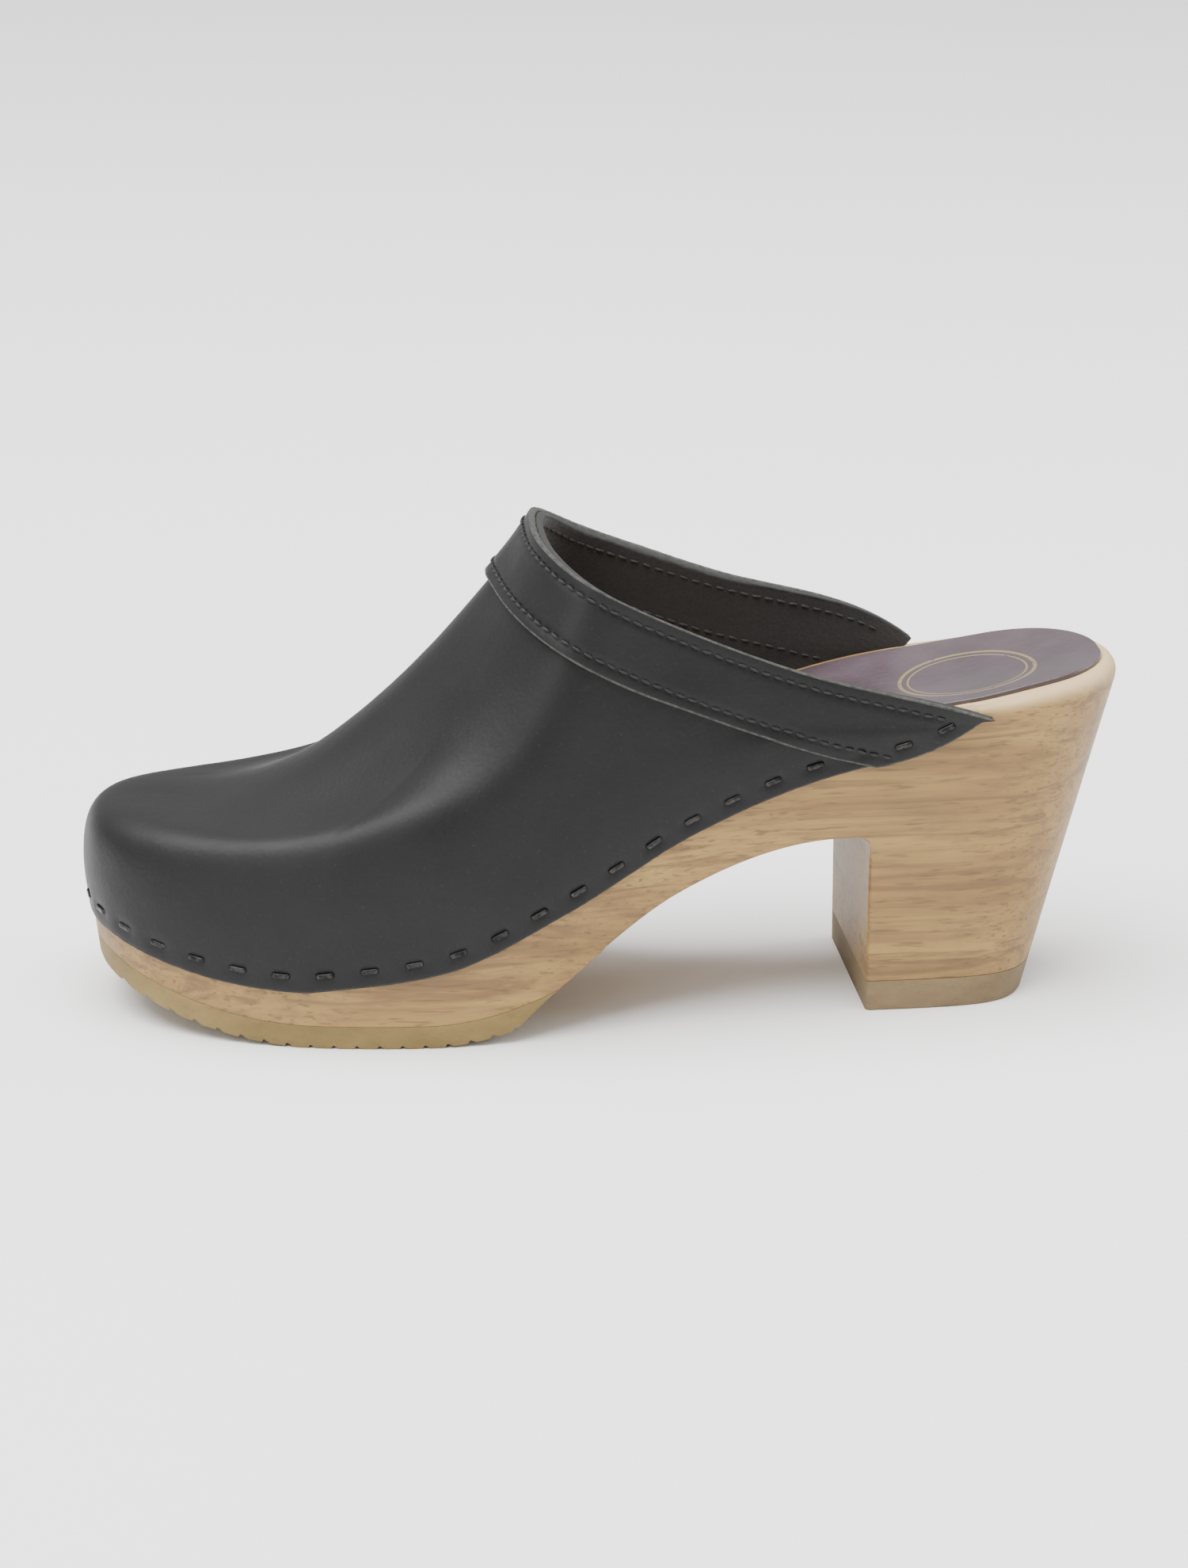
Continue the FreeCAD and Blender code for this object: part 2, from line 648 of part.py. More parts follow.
def evenly_spaced(point_at, spacing, start_gap, end_gap, steps=400):
    """Parameters from 0 to 1 of places one spacing apart along a curve."""
    runs = arc_lengths(point_at, steps)
    usable = runs[-1] - start_gap - end_gap
    count = int(usable // spacing)
    slack = (usable - count * spacing) / 2
    places = []
    for number in range(count + 1):
        wanted = start_gap + slack + number * spacing
        index = max(place for place, run in enumerate(runs[:-1]) if run <= wanted)
        part = (wanted - runs[index]) / (runs[index + 1] - runs[index])
        places.append((index + part) / steps)
    return places


def foot_point(across):
    side, _ = side_and_place(across)
    parameter = foot_parameter(across)
    return wall(parameter, leather_edge(plan.value(parameter).x, side), -PROUD)


def staple_face(across, depth=0.0):
    """Point on the outermost leather where a staple sits, or at a depth under it."""
    covered = COLLAR + GAP if collar_foot(across) == 0.0 else 0.0
    up = upper_line(across).parameterAtDistance(size("staple_margin"))
    return upper_point(across, up, covered - depth)


def staple(across):
    """U-shaped staple: a crown pressed into the leather and two legs through it into the wood."""
    gauge, wire, crown = size("staple_gauge"), size("staple_wire"), size("staple_crown")
    face = staple_face(across)
    outward = (face - staple_face(across, 1.0)).normalize()
    way = staple_face(across + NUDGE) - staple_face(across - NUDGE)
    way = (way - outward * way.dot(outward)).normalize()
    width_way = outward.cross(way)
    proud = gauge - size("staple_sink")
    depth = size("staple_leg") + proud
    body = bar(face + outward * (proud - gauge / 2), way, width_way, crown, wire, gauge)
    for end in (-1, 1):
        corner = face + way * (end * (crown - gauge) / 2)
        leg_bar = bar(corner + outward * (proud - depth / 2), way, width_way, gauge, wire, depth)
        body = body.fuse(leg_bar)
    return body.removeSplitter()


STAPLE_END_GAP = 8.0                  # from the last staple to the tip of the leather
staple_places = evenly_spaced(foot_point, size("staple_spacing"), STAPLE_END_GAP, STAPLE_END_GAP)
every_staple = Part.Compound([staple(across) for across in staple_places])
staples = add_feature("staples", every_staple)
staple_holes = add_feature("staple_holes", every_staple.copy())

leather_upper = operation("Part::Cut", "leather_upper", Base=upper_whole, Tool=staple_holes)
collar_band = operation("Part::Cut", "collar_band", Base=collar_whole, Tool=staple_holes)
wooden_sole = operation("Part::Cut", "wooden_sole", Base=sole_shaped, Tool=staple_holes)


def stitch_row(name, depth, end_gap):
    """Row of stitches on the collar band at a depth below its upper edge."""
    face_offset = GAP * 2 + COLLAR

    def row_point(across):
        return upper_point(across, up_at_distance(across, depth), face_offset)

    stitches = []
    for across in evenly_spaced(row_point, size("stitch_pitch"), end_gap, end_gap, 200):
        centre = row_point(across)
        way = (row_point(across + NUDGE) - row_point(across - NUDGE)).normalize()
        outward = row_point(across) - upper_point(across, up_at_distance(across, depth))
        outward = (outward - way * way.dot(outward)).normalize()
        thread = size("thread_size")
        stitches.append(bar(centre + outward * (thread / 2), way, outward.cross(way),
                            size("stitch_length"), thread, thread))
    return add_feature(name, Part.Compound(stitches))


MARGIN = size("stitch_margin")
UPPER_ROW_END = BAND * 0.5            # from the last stitch of the upper row to the tip
LOWER_ROW_END = BAND * 1.3            # and the same for the lower row
collar_stitches_upper = stitch_row("collar_stitches_upper", MARGIN, UPPER_ROW_END)
collar_stitches_lower = stitch_row("collar_stitches_lower", BAND - MARGIN, LOWER_ROW_END)

# ---------------------------------------------------------------- the heel sock


def sock_outline():
    """Outline of the sock: the sole's outline at the rim, moved in."""
    points = []
    for knot in OUTLINE_KNOTS[:-1]:
        point, outward, _ = wall_frame(knot)
        inset = size("sock_inset") + size("sock_inset_side") * max(0.0, -outward.y) ** 2
        point = wall(knot, rim(point.x), inset)
        points.append(Vector(point.x, point.y, 0))
    return Part.Face(Part.Wire(interpolated(points, OUTLINE_KNOTS, closed=True).toShape()))


sock_layer = extrusion("sock_layer", footbed, Vector(0, 0, 1), "Sizes.sock_thickness")
sock_plan = extrusion("sock_plan", sock_outline(), Vector(0, 0, 1), "Sizes.seat_height * 1.3")
sock_area = doc.addObject("Part::Box", "sock_area")
sock_area.setExpression("Length", "Sizes.clog_length")
sock_area.setExpression("Width", "Sizes.ball_width * 2")
sock_area.setExpression("Height", "Sizes.seat_height * 2")
sock_area.setExpression("Placement.Base.x", "Sizes.sock_front")
sock_area.setExpression("Placement.Base.y", "-Sizes.ball_width")
heel_sock = operation("Part::MultiCommon", "heel_sock", Shapes=[sock_layer, sock_plan, sock_area])

# ---------------------------------------------------------------- check, place and write

PIECES = [wooden_sole, forefoot_outsole, heel_lift, leather_upper, toe_puff, collar_band,
          collar_stitches_upper, collar_stitches_lower, staples, heel_sock]
for piece in PIECES:
    piece.Label = piece.Name
doc.recompute()

# The origin goes on the floor under the middle of the clog.
box = Part.Compound([piece.Shape for piece in PIECES]).optimalBoundingBox(True, False)
ORIGIN = [("origin_x", (box.XMin + box.XMax) / 2), ("origin_y", (box.YMin + box.YMax) / 2),
          ("origin_z", box.ZMin)]
for row, (alias, value) in enumerate(ORIGIN, start=len(SIZES) + 1):
    sheet.set(f"A{row}", alias)
    sheet.set(f"B{row}", str(value))
    sheet.setAlias(f"B{row}", alias)
doc.recompute()
for piece in PIECES:
    for axis in "xyz":
        piece.setExpression(f"Placement.Base.{axis}", f"-Sizes.origin_{axis}")
doc.recompute()

for item in doc.Objects:
    if "Invalid" in item.State or "Error" in item.State:
        raise RuntimeError(f"{item.Name} failed: {item.State}")
for piece in PIECES:
    if piece.Shape.isNull() or not piece.Shape.isValid():
        raise RuntimeError(f"{piece.Label} has no valid shape")
os.makedirs("parts", exist_ok=True)
for piece in PIECES:
    piece.Shape.exportStep(f"parts/{piece.Label}.step")
    volume = piece.Shape.Volume / 1000
    print(piece.Label, "solids", len(piece.Shape.Solids), "volume", round(volume, 2), "cm3")
print("size", round(box.XLength, 2), round(box.YLength, 2), round(box.ZLength, 2))
print("origin", [round(value, 3) for _, value in ORIGIN])
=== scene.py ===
import math

import bpy
import numpy as np
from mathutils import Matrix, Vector


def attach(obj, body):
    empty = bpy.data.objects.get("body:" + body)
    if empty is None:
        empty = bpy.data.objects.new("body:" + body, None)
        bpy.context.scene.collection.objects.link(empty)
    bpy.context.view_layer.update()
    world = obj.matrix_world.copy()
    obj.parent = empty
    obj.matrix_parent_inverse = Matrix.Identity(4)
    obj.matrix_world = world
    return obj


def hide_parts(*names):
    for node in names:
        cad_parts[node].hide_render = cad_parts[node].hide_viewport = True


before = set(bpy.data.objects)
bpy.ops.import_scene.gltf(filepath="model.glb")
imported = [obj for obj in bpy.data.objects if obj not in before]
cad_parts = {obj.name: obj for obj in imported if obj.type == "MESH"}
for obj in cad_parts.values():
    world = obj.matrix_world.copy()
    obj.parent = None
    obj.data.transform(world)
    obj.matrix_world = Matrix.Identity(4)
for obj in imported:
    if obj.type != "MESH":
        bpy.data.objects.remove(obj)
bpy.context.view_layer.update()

# Left wooden mule clog. Lengths below are in millimetres in the maker's frame: "along" from the toe
# (0) to the back of the heel, across from lateral (-) to medial (+), up from the floor.
ORIGIN = np.array([122.276, -1.419, 0.0])
MM = 0.001

LENGTH, BALL, WAIST, SEAT = 241.8, 91.5, 62.0, 62.5
BALL_STACK, SEAT_HEIGHT, TOE_LIFT, TOE_SPRING = 23.8, 76.0, 9.8, 13.2
TREAD_START, TREAD_END, REAR_ROLL, REAR_ROLL_RUN = 52.0, 76.0, 3.3, 22.0
WAIST_THICKNESS, BREAST, FILLET = 23.1, 181.0, 3.0
RUBBER, PITCH, GROOVE, LIFT, CUP = 5.4, 5.2, 0.8, 7.2, 4.0
TOE_LEAN, SIDE_LEAN, HEEL_LEAN = 8.0, 2.5, 16.0
LAP, RABBET, THICK, THROAT = 10.4, 1.5, 2.2, 72.2
BAND, COLLAR, GAP = 17.4, 1.8, 0.1
PUFF, PUFF_LENGTH = 1.0, 62.0
SOCK, SOCK_INSET, SOCK_LATERAL, SOCK_FRONT = 1.2, 4.5, 5.0, 158.0
STITCH_PITCH, STITCH, THREAD, STITCH_MARGIN = 3.0, 2.2, 0.6, 3.0
STAPLE_PITCH, CROWN, WIRE, GAUGE, STAPLE_MARGIN = 10.3, 4.4, 1.2, 0.6, 3.9
PROUD = THICK + GAP - RABBET

OUTLINE = [
    (1.0, 0.0, SEAT), (0.99, -0.42, SEAT), (0.95, -0.82, SEAT), (0.875, -0.99, SEAT), (0.77, -1.02, SEAT),
    (0.64, -1.08, WAIST), (0.515, -0.86, BALL), (0.405, -0.985, BALL), (0.31, -1.012, BALL),
    (0.207, -0.935, BALL), (0.116, -0.755, BALL), (0.05, -0.50, BALL), (0.017, -0.22, BALL),
    (0.009, 0.10, BALL), (0.0225, 0.42, BALL), (0.062, 0.665, BALL), (0.13, 0.84, BALL),
    (0.228, 0.94, BALL), (0.33, 0.935, BALL), (0.435, 0.81, BALL), (0.54, 0.98, WAIST),
    (0.655, 0.91, WAIST), (0.77, 0.955, SEAT), (0.875, 0.975, SEAT), (0.95, 0.81, SEAT),
    (0.99, 0.42, SEAT),
]
TOE_STATION = 13
PLAN_DROP = 6.0                       # the outline is drawn this far under the rim
TOE_LEANS_FROM, HEEL_LEANS_FROM = 0.15, 0.72
THINNEST = (0.558, 0.591)             # shares of the length between which the waist is thinnest
ARCH_RUN, ARCH_EXTRA = (37.0, 33.0), (8.5, 3.9)
BALL_AT = 0.207
RIM_RISE = [(BALL_AT, 0.0), (0.331, 0.086), (0.455, 0.332), (0.579, 0.636), (0.703, 0.845),
            (0.765, 0.908), (0.827, 0.946), (0.91, 1.0), (1.0, 1.038)]
TOPLINE = [
    (0.862, -1.06, -0.052), (0.785, -1.0, 0.055), (0.705, -0.97, 0.175), (0.62, -0.94, 0.375),
    (0.54, -0.91, 0.62), (0.478, -0.84, 0.85), (0.447, -0.52, 0.965), (0.4415, 0.05, 1.0),
    (0.455, 0.5, 0.95), (0.49, 0.80, 0.81), (0.56, 0.92, 0.59), (0.64, 0.97, 0.385),
    (0.72, 1.0, 0.23), (0.785, 1.05, 0.105), (0.825, 1.06, 0.0),
]
THROAT_STATION = 7
TOE_BLEND_FROM = 0.2
TIP_AT = {-1: 0.848, 1: 0.816}
SWEEP_RUN, SWEEP_UP = 0.091, 0.62
FAN, EVEN = 2.2, 0.18
STRAIGHT_RISE, STRAIGHT_SHARE = 14.0, 0.45
NUDGE, TIP_STRETCH = 0.002, 0.10
TOE_LINE = [(0.01, 0.33), (0.35, 0.225), (0.71, 0.545)]
SIDE_LINE = [(0.12, 0.50), (0.36, 0.72), (0.70, 0.88)]


# ------------------------------------------------------------------ curves

def cubic(knots, points, closed):
    """Second derivatives of a cubic spline through points, and its evaluator (value, slope)."""
    knots, points = np.asarray(knots, float), np.asarray(points, float)
    count = len(knots)
    runs = np.diff(knots)
    system, right = np.zeros((count, count)), np.zeros((count, points.shape[1]))
    slopes = np.diff(points, axis=0) / runs[:, None]
    for row in range(1, count - 1):
        system[row, row - 1:row + 2] = runs[row - 1], 2 * (runs[row - 1] + runs[row]), runs[row]
        right[row] = 6 * (slopes[row] - slopes[row - 1])
    if closed:
        system[0, 0], system[0, -1] = 1, -1
        system[-1, 0], system[-1, 1] = 2 * (runs[-1] + runs[0]), runs[0]
        system[-1, -2] = runs[-1]
        right[-1] = 6 * (slopes[0] - slopes[-1])
    else:
        system[0, :3] = runs[1], -(runs[0] + runs[1]), runs[0]
        system[-1, -3:] = runs[-1], -(runs[-2] + runs[-1]), runs[-2]
    bend = np.linalg.solve(system, right)

    def at(place):
        place = np.clip(np.asarray(place, float), knots[0], knots[-1])
        index = np.clip(np.searchsorted(knots, place, side="right") - 1, 0, count - 2)
        run = runs[index][..., None]
        after = (place - knots[index])[..., None] / run
        before = 1 - after
        low, high = bend[index], bend[index + 1]
        value = (before * points[index] + after * points[index + 1]
                 + ((before ** 3 - before) * low + (after ** 3 - after) * high) * run ** 2 / 6)
        slope = ((points[index + 1] - points[index]) / run
                 + ((3 * after ** 2 - 1) * high - (3 * before ** 2 - 1) * low) * run / 6)
        return value, slope
    return at


def chords(points):
    return np.r_[0, np.cumsum(np.linalg.norm(np.diff(points, axis=0), axis=1))]


def smooth(points, x):
    """Monotone cubic curve through the points, carried on straight past both ends."""
    xs, ys = np.array(points).T
    slopes = np.diff(ys) / np.diff(xs)
    tangents = np.r_[slopes[0], [0 if a * b <= 0 else 2 * a * b / (a + b)
                                 for a, b in zip(slopes, slopes[1:])], slopes[-1]]
    x = np.asarray(x, float)
    at = np.clip(np.searchsorted(xs, x, side="right") - 1, 0, len(xs) - 2)
    run = xs[at + 1] - xs[at]
    part = (x - xs[at]) / run
    rest = 1 - part
    value = ((1 + 2 * part) * rest ** 2 * ys[at] + part * rest ** 2 * run * tangents[at]
             + part ** 2 * (3 - 2 * part) * ys[at + 1] - part ** 2 * rest * run * tangents[at + 1])
    value = np.where(x < xs[0], ys[0] + tangents[0] * (x - xs[0]), value)
    return np.where(x > xs[-1], ys[-1] + tangents[-1] * (x - xs[-1]), value)


def rim(along):
    ball = BALL_AT * LENGTH
    along = np.asarray(along, float)
    front = BALL_STACK + TOE_LIFT * (np.maximum(ball - along, 0) / ball) ** 2
    rear = BALL_STACK + (SEAT_HEIGHT - BALL_STACK) * smooth(RIM_RISE, along / LENGTH)
    return np.where(along < ball, front, rear)


def leather_edge(along, tip):
    sweep = np.clip((along / LENGTH - tip + SWEEP_RUN) / SWEEP_RUN, 0, 1.2)
    return rim(along) - LAP * (1 - SWEEP_UP * sweep ** 2)


def tread(along):
    front = TOE_SPRING * (np.maximum(TREAD_START - along, 0) / TREAD_START) ** 2
    return front + REAR_ROLL * (np.maximum(along - TREAD_END, 0) / REAR_ROLL_RUN) ** 2


def arch(along):
    before = np.maximum(0, THINNEST[0] * LENGTH - along) / ARCH_RUN[0]
    behind = np.maximum(0, along - THINNEST[1] * LENGTH) / ARCH_RUN[1]
    return rim(along) - WAIST_THICKNESS - ARCH_EXTRA[0] * before ** 2 - ARCH_EXTRA[1] * behind ** 2


outline_points = np.array([(along * LENGTH, across * width / 2)
                           for along, across, width in OUTLINE + OUTLINE[:1]])
OUTLINE_KNOTS = chords(outline_points)
plan = cubic(OUTLINE_KNOTS, outline_points, True)
HEEL_PARAMETER, TOE_PARAMETER = OUTLINE_KNOTS[-1], OUTLINE_KNOTS[TOE_STATION]


def wall_frame(parameter):
    point, slope = plan(parameter)
    slope = slope / np.linalg.norm(slope, axis=-1, keepdims=True)
    zero = np.zeros(point.shape[:-1])
    outward = np.stack([-slope[..., 1], slope[..., 0], zero], -1)
    share = point[..., 0] / LENGTH
    toe_share = np.maximum(0, 1 - share / TOE_LEANS_FROM) ** 1.5
    heel_share = np.maximum(0, (share - HEEL_LEANS_FROM) / (1 - HEEL_LEANS_FROM)) ** 1.5
    lean_along = math.tan(math.radians(HEEL_LEAN)) * heel_share - math.tan(math.radians(TOE_LEAN)) * toe_share
    lean_across = math.tan(math.radians(SIDE_LEAN)) * outward[..., 1]
    return point, outward, np.stack([lean_along, lean_across, zero + 1], -1)


def wall(parameter, height, inset=0.0):
    point, outward, upright = wall_frame(parameter)
    climb = np.asarray(height - rim(point[..., 0]) + PLAN_DROP)[..., None]
    flat = np.concatenate([point, np.zeros(point.shape[:-1] + (1,))], -1)
    place = flat + upright * climb - outward * np.asarray(inset)[..., None]
    place[..., 2] = height
    return place


dense = np.linspace(0, HEEL_PARAMETER, 8001)
dense_plan = plan(dense)[0]
FRONT_PARAMETER = dense[np.argmin(dense_plan[:, 0])]
FRONT, BACK = dense_plan[:, 0].min() + 1e-4, dense_plan[:, 0].max() - 1e-4


def parameter_at(along, side):
    """Outline parameter where one side passes a place along the sole."""
    chosen = dense <= FRONT_PARAMETER if side < 0 else dense >= FRONT_PARAMETER
    order = np.argsort(dense_plan[chosen, 0])
    return np.interp(along, dense_plan[chosen, 0][order], dense[chosen][order])


def half_width(along, side):
    return np.abs(plan(parameter_at(along, side))[0][..., 1])


def footbed(along, across):
    inside = np.clip(along, 0.05 * LENGTH, 0.9 * LENGTH)
    reach = np.where(across < 0, half_width(inside, -1), half_width(inside, 1)) + 3.0
    back = np.maximum(0, along - 0.85 * LENGTH) / (0.15 * LENGTH)
    return rim(along) - CUP * (1 - (across / reach) ** 2 - back ** 2)


# ------------------------------------------------------------------ the upper's lines

topline_points = np.array([
    (a * LENGTH, c * half_width(a * LENGTH, -1 if c < 0 else 1), rim(a * LENGTH) + THROAT * g)
    for a, c, g in TOPLINE])
TOPLINE_KNOTS = chords(topline_points)
topline = cubic(TOPLINE_KNOTS, topline_points, False)
TIP_PARAMETER = {side: float(parameter_at(TIP_AT[side] * LENGTH, side)) for side in (-1, 1)}
SAMPLES = np.linspace(0, 1, 161)


def basis(up):
    """The seven weights of the clamped cubic lines at heights up."""
    knots = np.array([0, 0, 0, 0, 0.25, 0.5, 0.75, 1, 1, 1, 1])
    up = np.clip(up, 0, 1 - 1e-9)
    weights = [((up >= knots[i]) & (up < knots[i + 1])).astype(float) for i in range(10)]
    for degree in (1, 2, 3):
        raised = []
        for i in range(10 - degree):
            left, right = knots[i + degree] - knots[i], knots[i + degree + 1] - knots[i + 1]
            value = (up - knots[i]) / left * weights[i] if left else 0
            raised.append(value + ((knots[i + degree + 1] - up) / right * weights[i + 1] if right else 0))
        weights = raised
    return np.stack(weights, -1)


WEIGHTS = basis(SAMPLES)


def leather_lines(across):
    """Points (line, sample, xyz) of the outer face for an array of places across."""
    lateral = across < 0.5
    side = np.where(lateral, -1, 1)
    place = np.where(lateral, across * 2, 2 - across * 2)
    tip = np.where(lateral, TIP_PARAMETER[-1], TIP_PARAMETER[1])
    foot_at = tip + (TOE_PARAMETER - tip) * place
    point, outward, upright = wall_frame(foot_at)
    foot = wall(foot_at, leather_edge(point[:, 0], np.where(lateral, TIP_AT[-1], TIP_AT[1])), -PROUD)
    gathered = 1 - (1 - EVEN) * (1 - place) ** FAN - EVEN * (1 - place)
    end = np.where(side < 0, TOPLINE_KNOTS[0], TOPLINE_KNOTS[-1])
    head = topline(end + (TOPLINE_KNOTS[THROAT_STATION] - end) * gathered)[0]
    rise = head[:, 2] - foot[:, 2]
    inward = (head - foot) * [1, 1, 0]
    straight = np.minimum(STRAIGHT_RISE, rise * STRAIGHT_SHARE)[:, None]
    poles = [foot, foot + upright * straight * 0.4, foot + upright * straight]
    blend = np.maximum(0, (place - TOE_BLEND_FROM) / (1 - TOE_BLEND_FROM))
    toe = blend * blend * (3 - 2 * blend)
    for (toe_in, toe_up), (side_in, side_up) in zip(TOE_LINE, SIDE_LINE):
        pole = foot + inward * (toe_in * toe + side_in * (1 - toe))[:, None]
        pole[:, 2] += rise * (toe_up * toe + side_up * (1 - toe))
        poles.append(pole)
    poles.append(head)
    return np.einsum("sp,pcx->csx", WEIGHTS, np.array(poles)), outward, place


class Leather:
    """The upper's outer face at chosen places across, with lengths and normals along each line."""

    def __init__(self, across):
        self.across = np.asarray(across, float)
        self.lines, wall_outward, place = leather_lines(self.across)
        after = leather_lines(np.clip(self.across + NUDGE, 0, 1))[0]
        before = leather_lines(np.clip(self.across - NUDGE, 0, 1))[0]
        up = np.gradient(self.lines, axis=1)
        normal = np.cross(up, after - before)
        normal /= np.maximum(np.linalg.norm(normal, axis=-1, keepdims=True), 1e-12)
        share = np.minimum(1, place / TIP_STRETCH)[:, None, None]
        normal = normal * share + wall_outward[:, None, :] * (1 - share)
        self.normals = normal / np.linalg.norm(normal, axis=-1, keepdims=True)
        steps = np.linalg.norm(np.diff(self.lines, axis=1), axis=-1)
        self.runs = np.concatenate([np.zeros((len(self.across), 1)), np.cumsum(steps, axis=1)], 1)
        self.length = self.runs[:, -1]

    def at(self, distance, offset=0.0):
        """Point of every line at a distance up from the lower edge; offset may be an array."""
        distance = np.asarray(distance) * np.ones(len(self.across))
        places, normals = np.empty((len(self.across), 3)), np.empty((len(self.across), 3))
        for line in range(len(self.across)):
            for axis in range(3):
                places[line, axis] = np.interp(distance[line], self.runs[line], self.lines[line, :, axis])
                normals[line, axis] = np.interp(distance[line], self.runs[line], self.normals[line, :, axis])
        normals /= np.linalg.norm(normals, axis=-1, keepdims=True)
        return places + normals * (np.asarray(offset) * np.ones(len(self.across)))[:, None], normals


# ------------------------------------------------------------------ noise and meshes

LATTICE = np.random.default_rng(7).random((64, 64, 64))


def noise(points, scale):
    """Smooth noise between -1 and 1 at points in millimetres, features about one scale in size."""
    place = np.asarray(points) / scale + 100.0
    cell = np.floor(place).astype(int)
    part = place - cell
    part = part * part * (3 - 2 * part)
    total = 0
    for x in (0, 1):
        for y in (0, 1):
            for z in (0, 1):
                weight = (np.where(x, part[..., 0], 1 - part[..., 0])
                          * np.where(y, part[..., 1], 1 - part[..., 1])
                          * np.where(z, part[..., 2], 1 - part[..., 2]))
                total = total + weight * LATTICE[(cell[..., 0] + x) % 64, (cell[..., 1] + y) % 64,
                                                 (cell[..., 2] + z) % 64]
    return total * 2 - 1


def build(name, points, faces, materials, marks=None, stands_for=(), sharp=None, tone=None):
    """A mesh piece from points in millimetres, riding on the rigid clog."""
    mesh = bpy.data.meshes.new(name)
    mesh.from_pydata([tuple(p) for p in (np.asarray(points) - ORIGIN) * MM], [], [tuple(f) for f in faces])
    mesh.validate()
    for material in materials:
        mesh.materials.append(material)
    if marks is not None and len(marks) == len(mesh.polygons):
        mesh.polygons.foreach_set("material_index", np.asarray(marks, dtype=np.int32))
    mesh.polygons.foreach_set("use_smooth", [True] * len(mesh.polygons))
    if tone is not None:
        layer = mesh.attributes.new("tone", "FLOAT", "POINT")
        layer.data.foreach_set("value", np.asarray(tone, dtype=np.float32))
    piece = bpy.data.objects.new(name, mesh)
    bpy.context.scene.collection.objects.link(piece)
    if sharp is not None:
        mesh.set_sharp_from_angle(angle=math.radians(sharp))
    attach(piece, "root")
    if stands_for:
        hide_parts(*stands_for)
    return piece


def tube_faces(loops, around, marks_around=None, flip=False):
    """Quads between closed loops of points, and one face at both ends."""
    faces, marks = [], []
    for loop in range(loops - 1):
        for spot in range(around):
            a, b = loop * around + spot, loop * around + (spot + 1) % around
            quad = (a, b, b + around, a + around)
            faces.append(quad[::-1] if flip else quad)
            marks.append(0 if marks_around is None else marks_around[spot])
    first = tuple(range(around))
    last = tuple(range((loops - 1) * around, loops * around))
    faces += [first, last[::-1]] if flip else [first[::-1], last]
    marks += [0, 0] if marks_around is None else [1, 1]
    return faces, marks


def strip(name, leather, low, high, outer, inner, rows, radius, materials, stands_for=(),
          relief=None, edge_rows=4, fray=0.0):
    """A layer of leather between two distances along the lines, with rounded cut edges.

    The section runs up the outer face, round the upper edge, down the inner face and round the lower one."""
    columns = len(leather.across)
    low, high = low * np.ones(columns), high * np.ones(columns)
    angles = np.linspace(0, math.pi / 2, edge_rows)
    section = []
    shares = np.linspace(0, 1, rows)
    for share in shares:
        section.append((share, 0.0, outer, 0))
    for angle in angles[1:]:
        section.append((1, radius * math.sin(angle), outer - radius * (1 - math.cos(angle)), 1))
    for angle in angles[::-1][:-1]:
        section.append((1, radius * math.sin(angle), inner + radius * (1 - math.cos(angle)), 1))
    for share in shares[::-1]:
        section.append((share, 0.0, inner, 2))
    for angle in angles[1:]:
        section.append((0, -radius * math.sin(angle), inner + radius * (1 - math.cos(angle)), 1))
    for angle in angles[::-1][:-1]:
        section.append((0, -radius * math.sin(angle), outer - radius * (1 - math.cos(angle)), 1))
    rings = []
    inset = radius
    for share, past, offset, kind in section:
        distance = (low + inset) + (high - low - 2 * inset) * share + past
        place, normal = leather.at(distance, offset)
        if fray and kind == 1:
            place = place + normal * (noise(place, 0.9) * fray)[:, None]
        if relief is not None:
            place = place + normal * relief(place, kind)[:, None]
        rings.append(place)
    points = np.array(rings).transpose(1, 0, 2).reshape(-1, 3)
    kinds = [kind for _, _, _, kind in section]
    spots = len(section)
    marks_around = [1 if 1 in (kinds[i], kinds[(i + 1) % spots]) else kinds[i] for i in range(spots)]
    faces, marks = tube_faces(columns, spots, marks_around)
    return build(name, points, faces, materials, marks, stands_for)


# ------------------------------------------------------------------ materials

NOISE, CELLS = "ShaderNodeTexNoise", "ShaderNodeTexVoronoi"


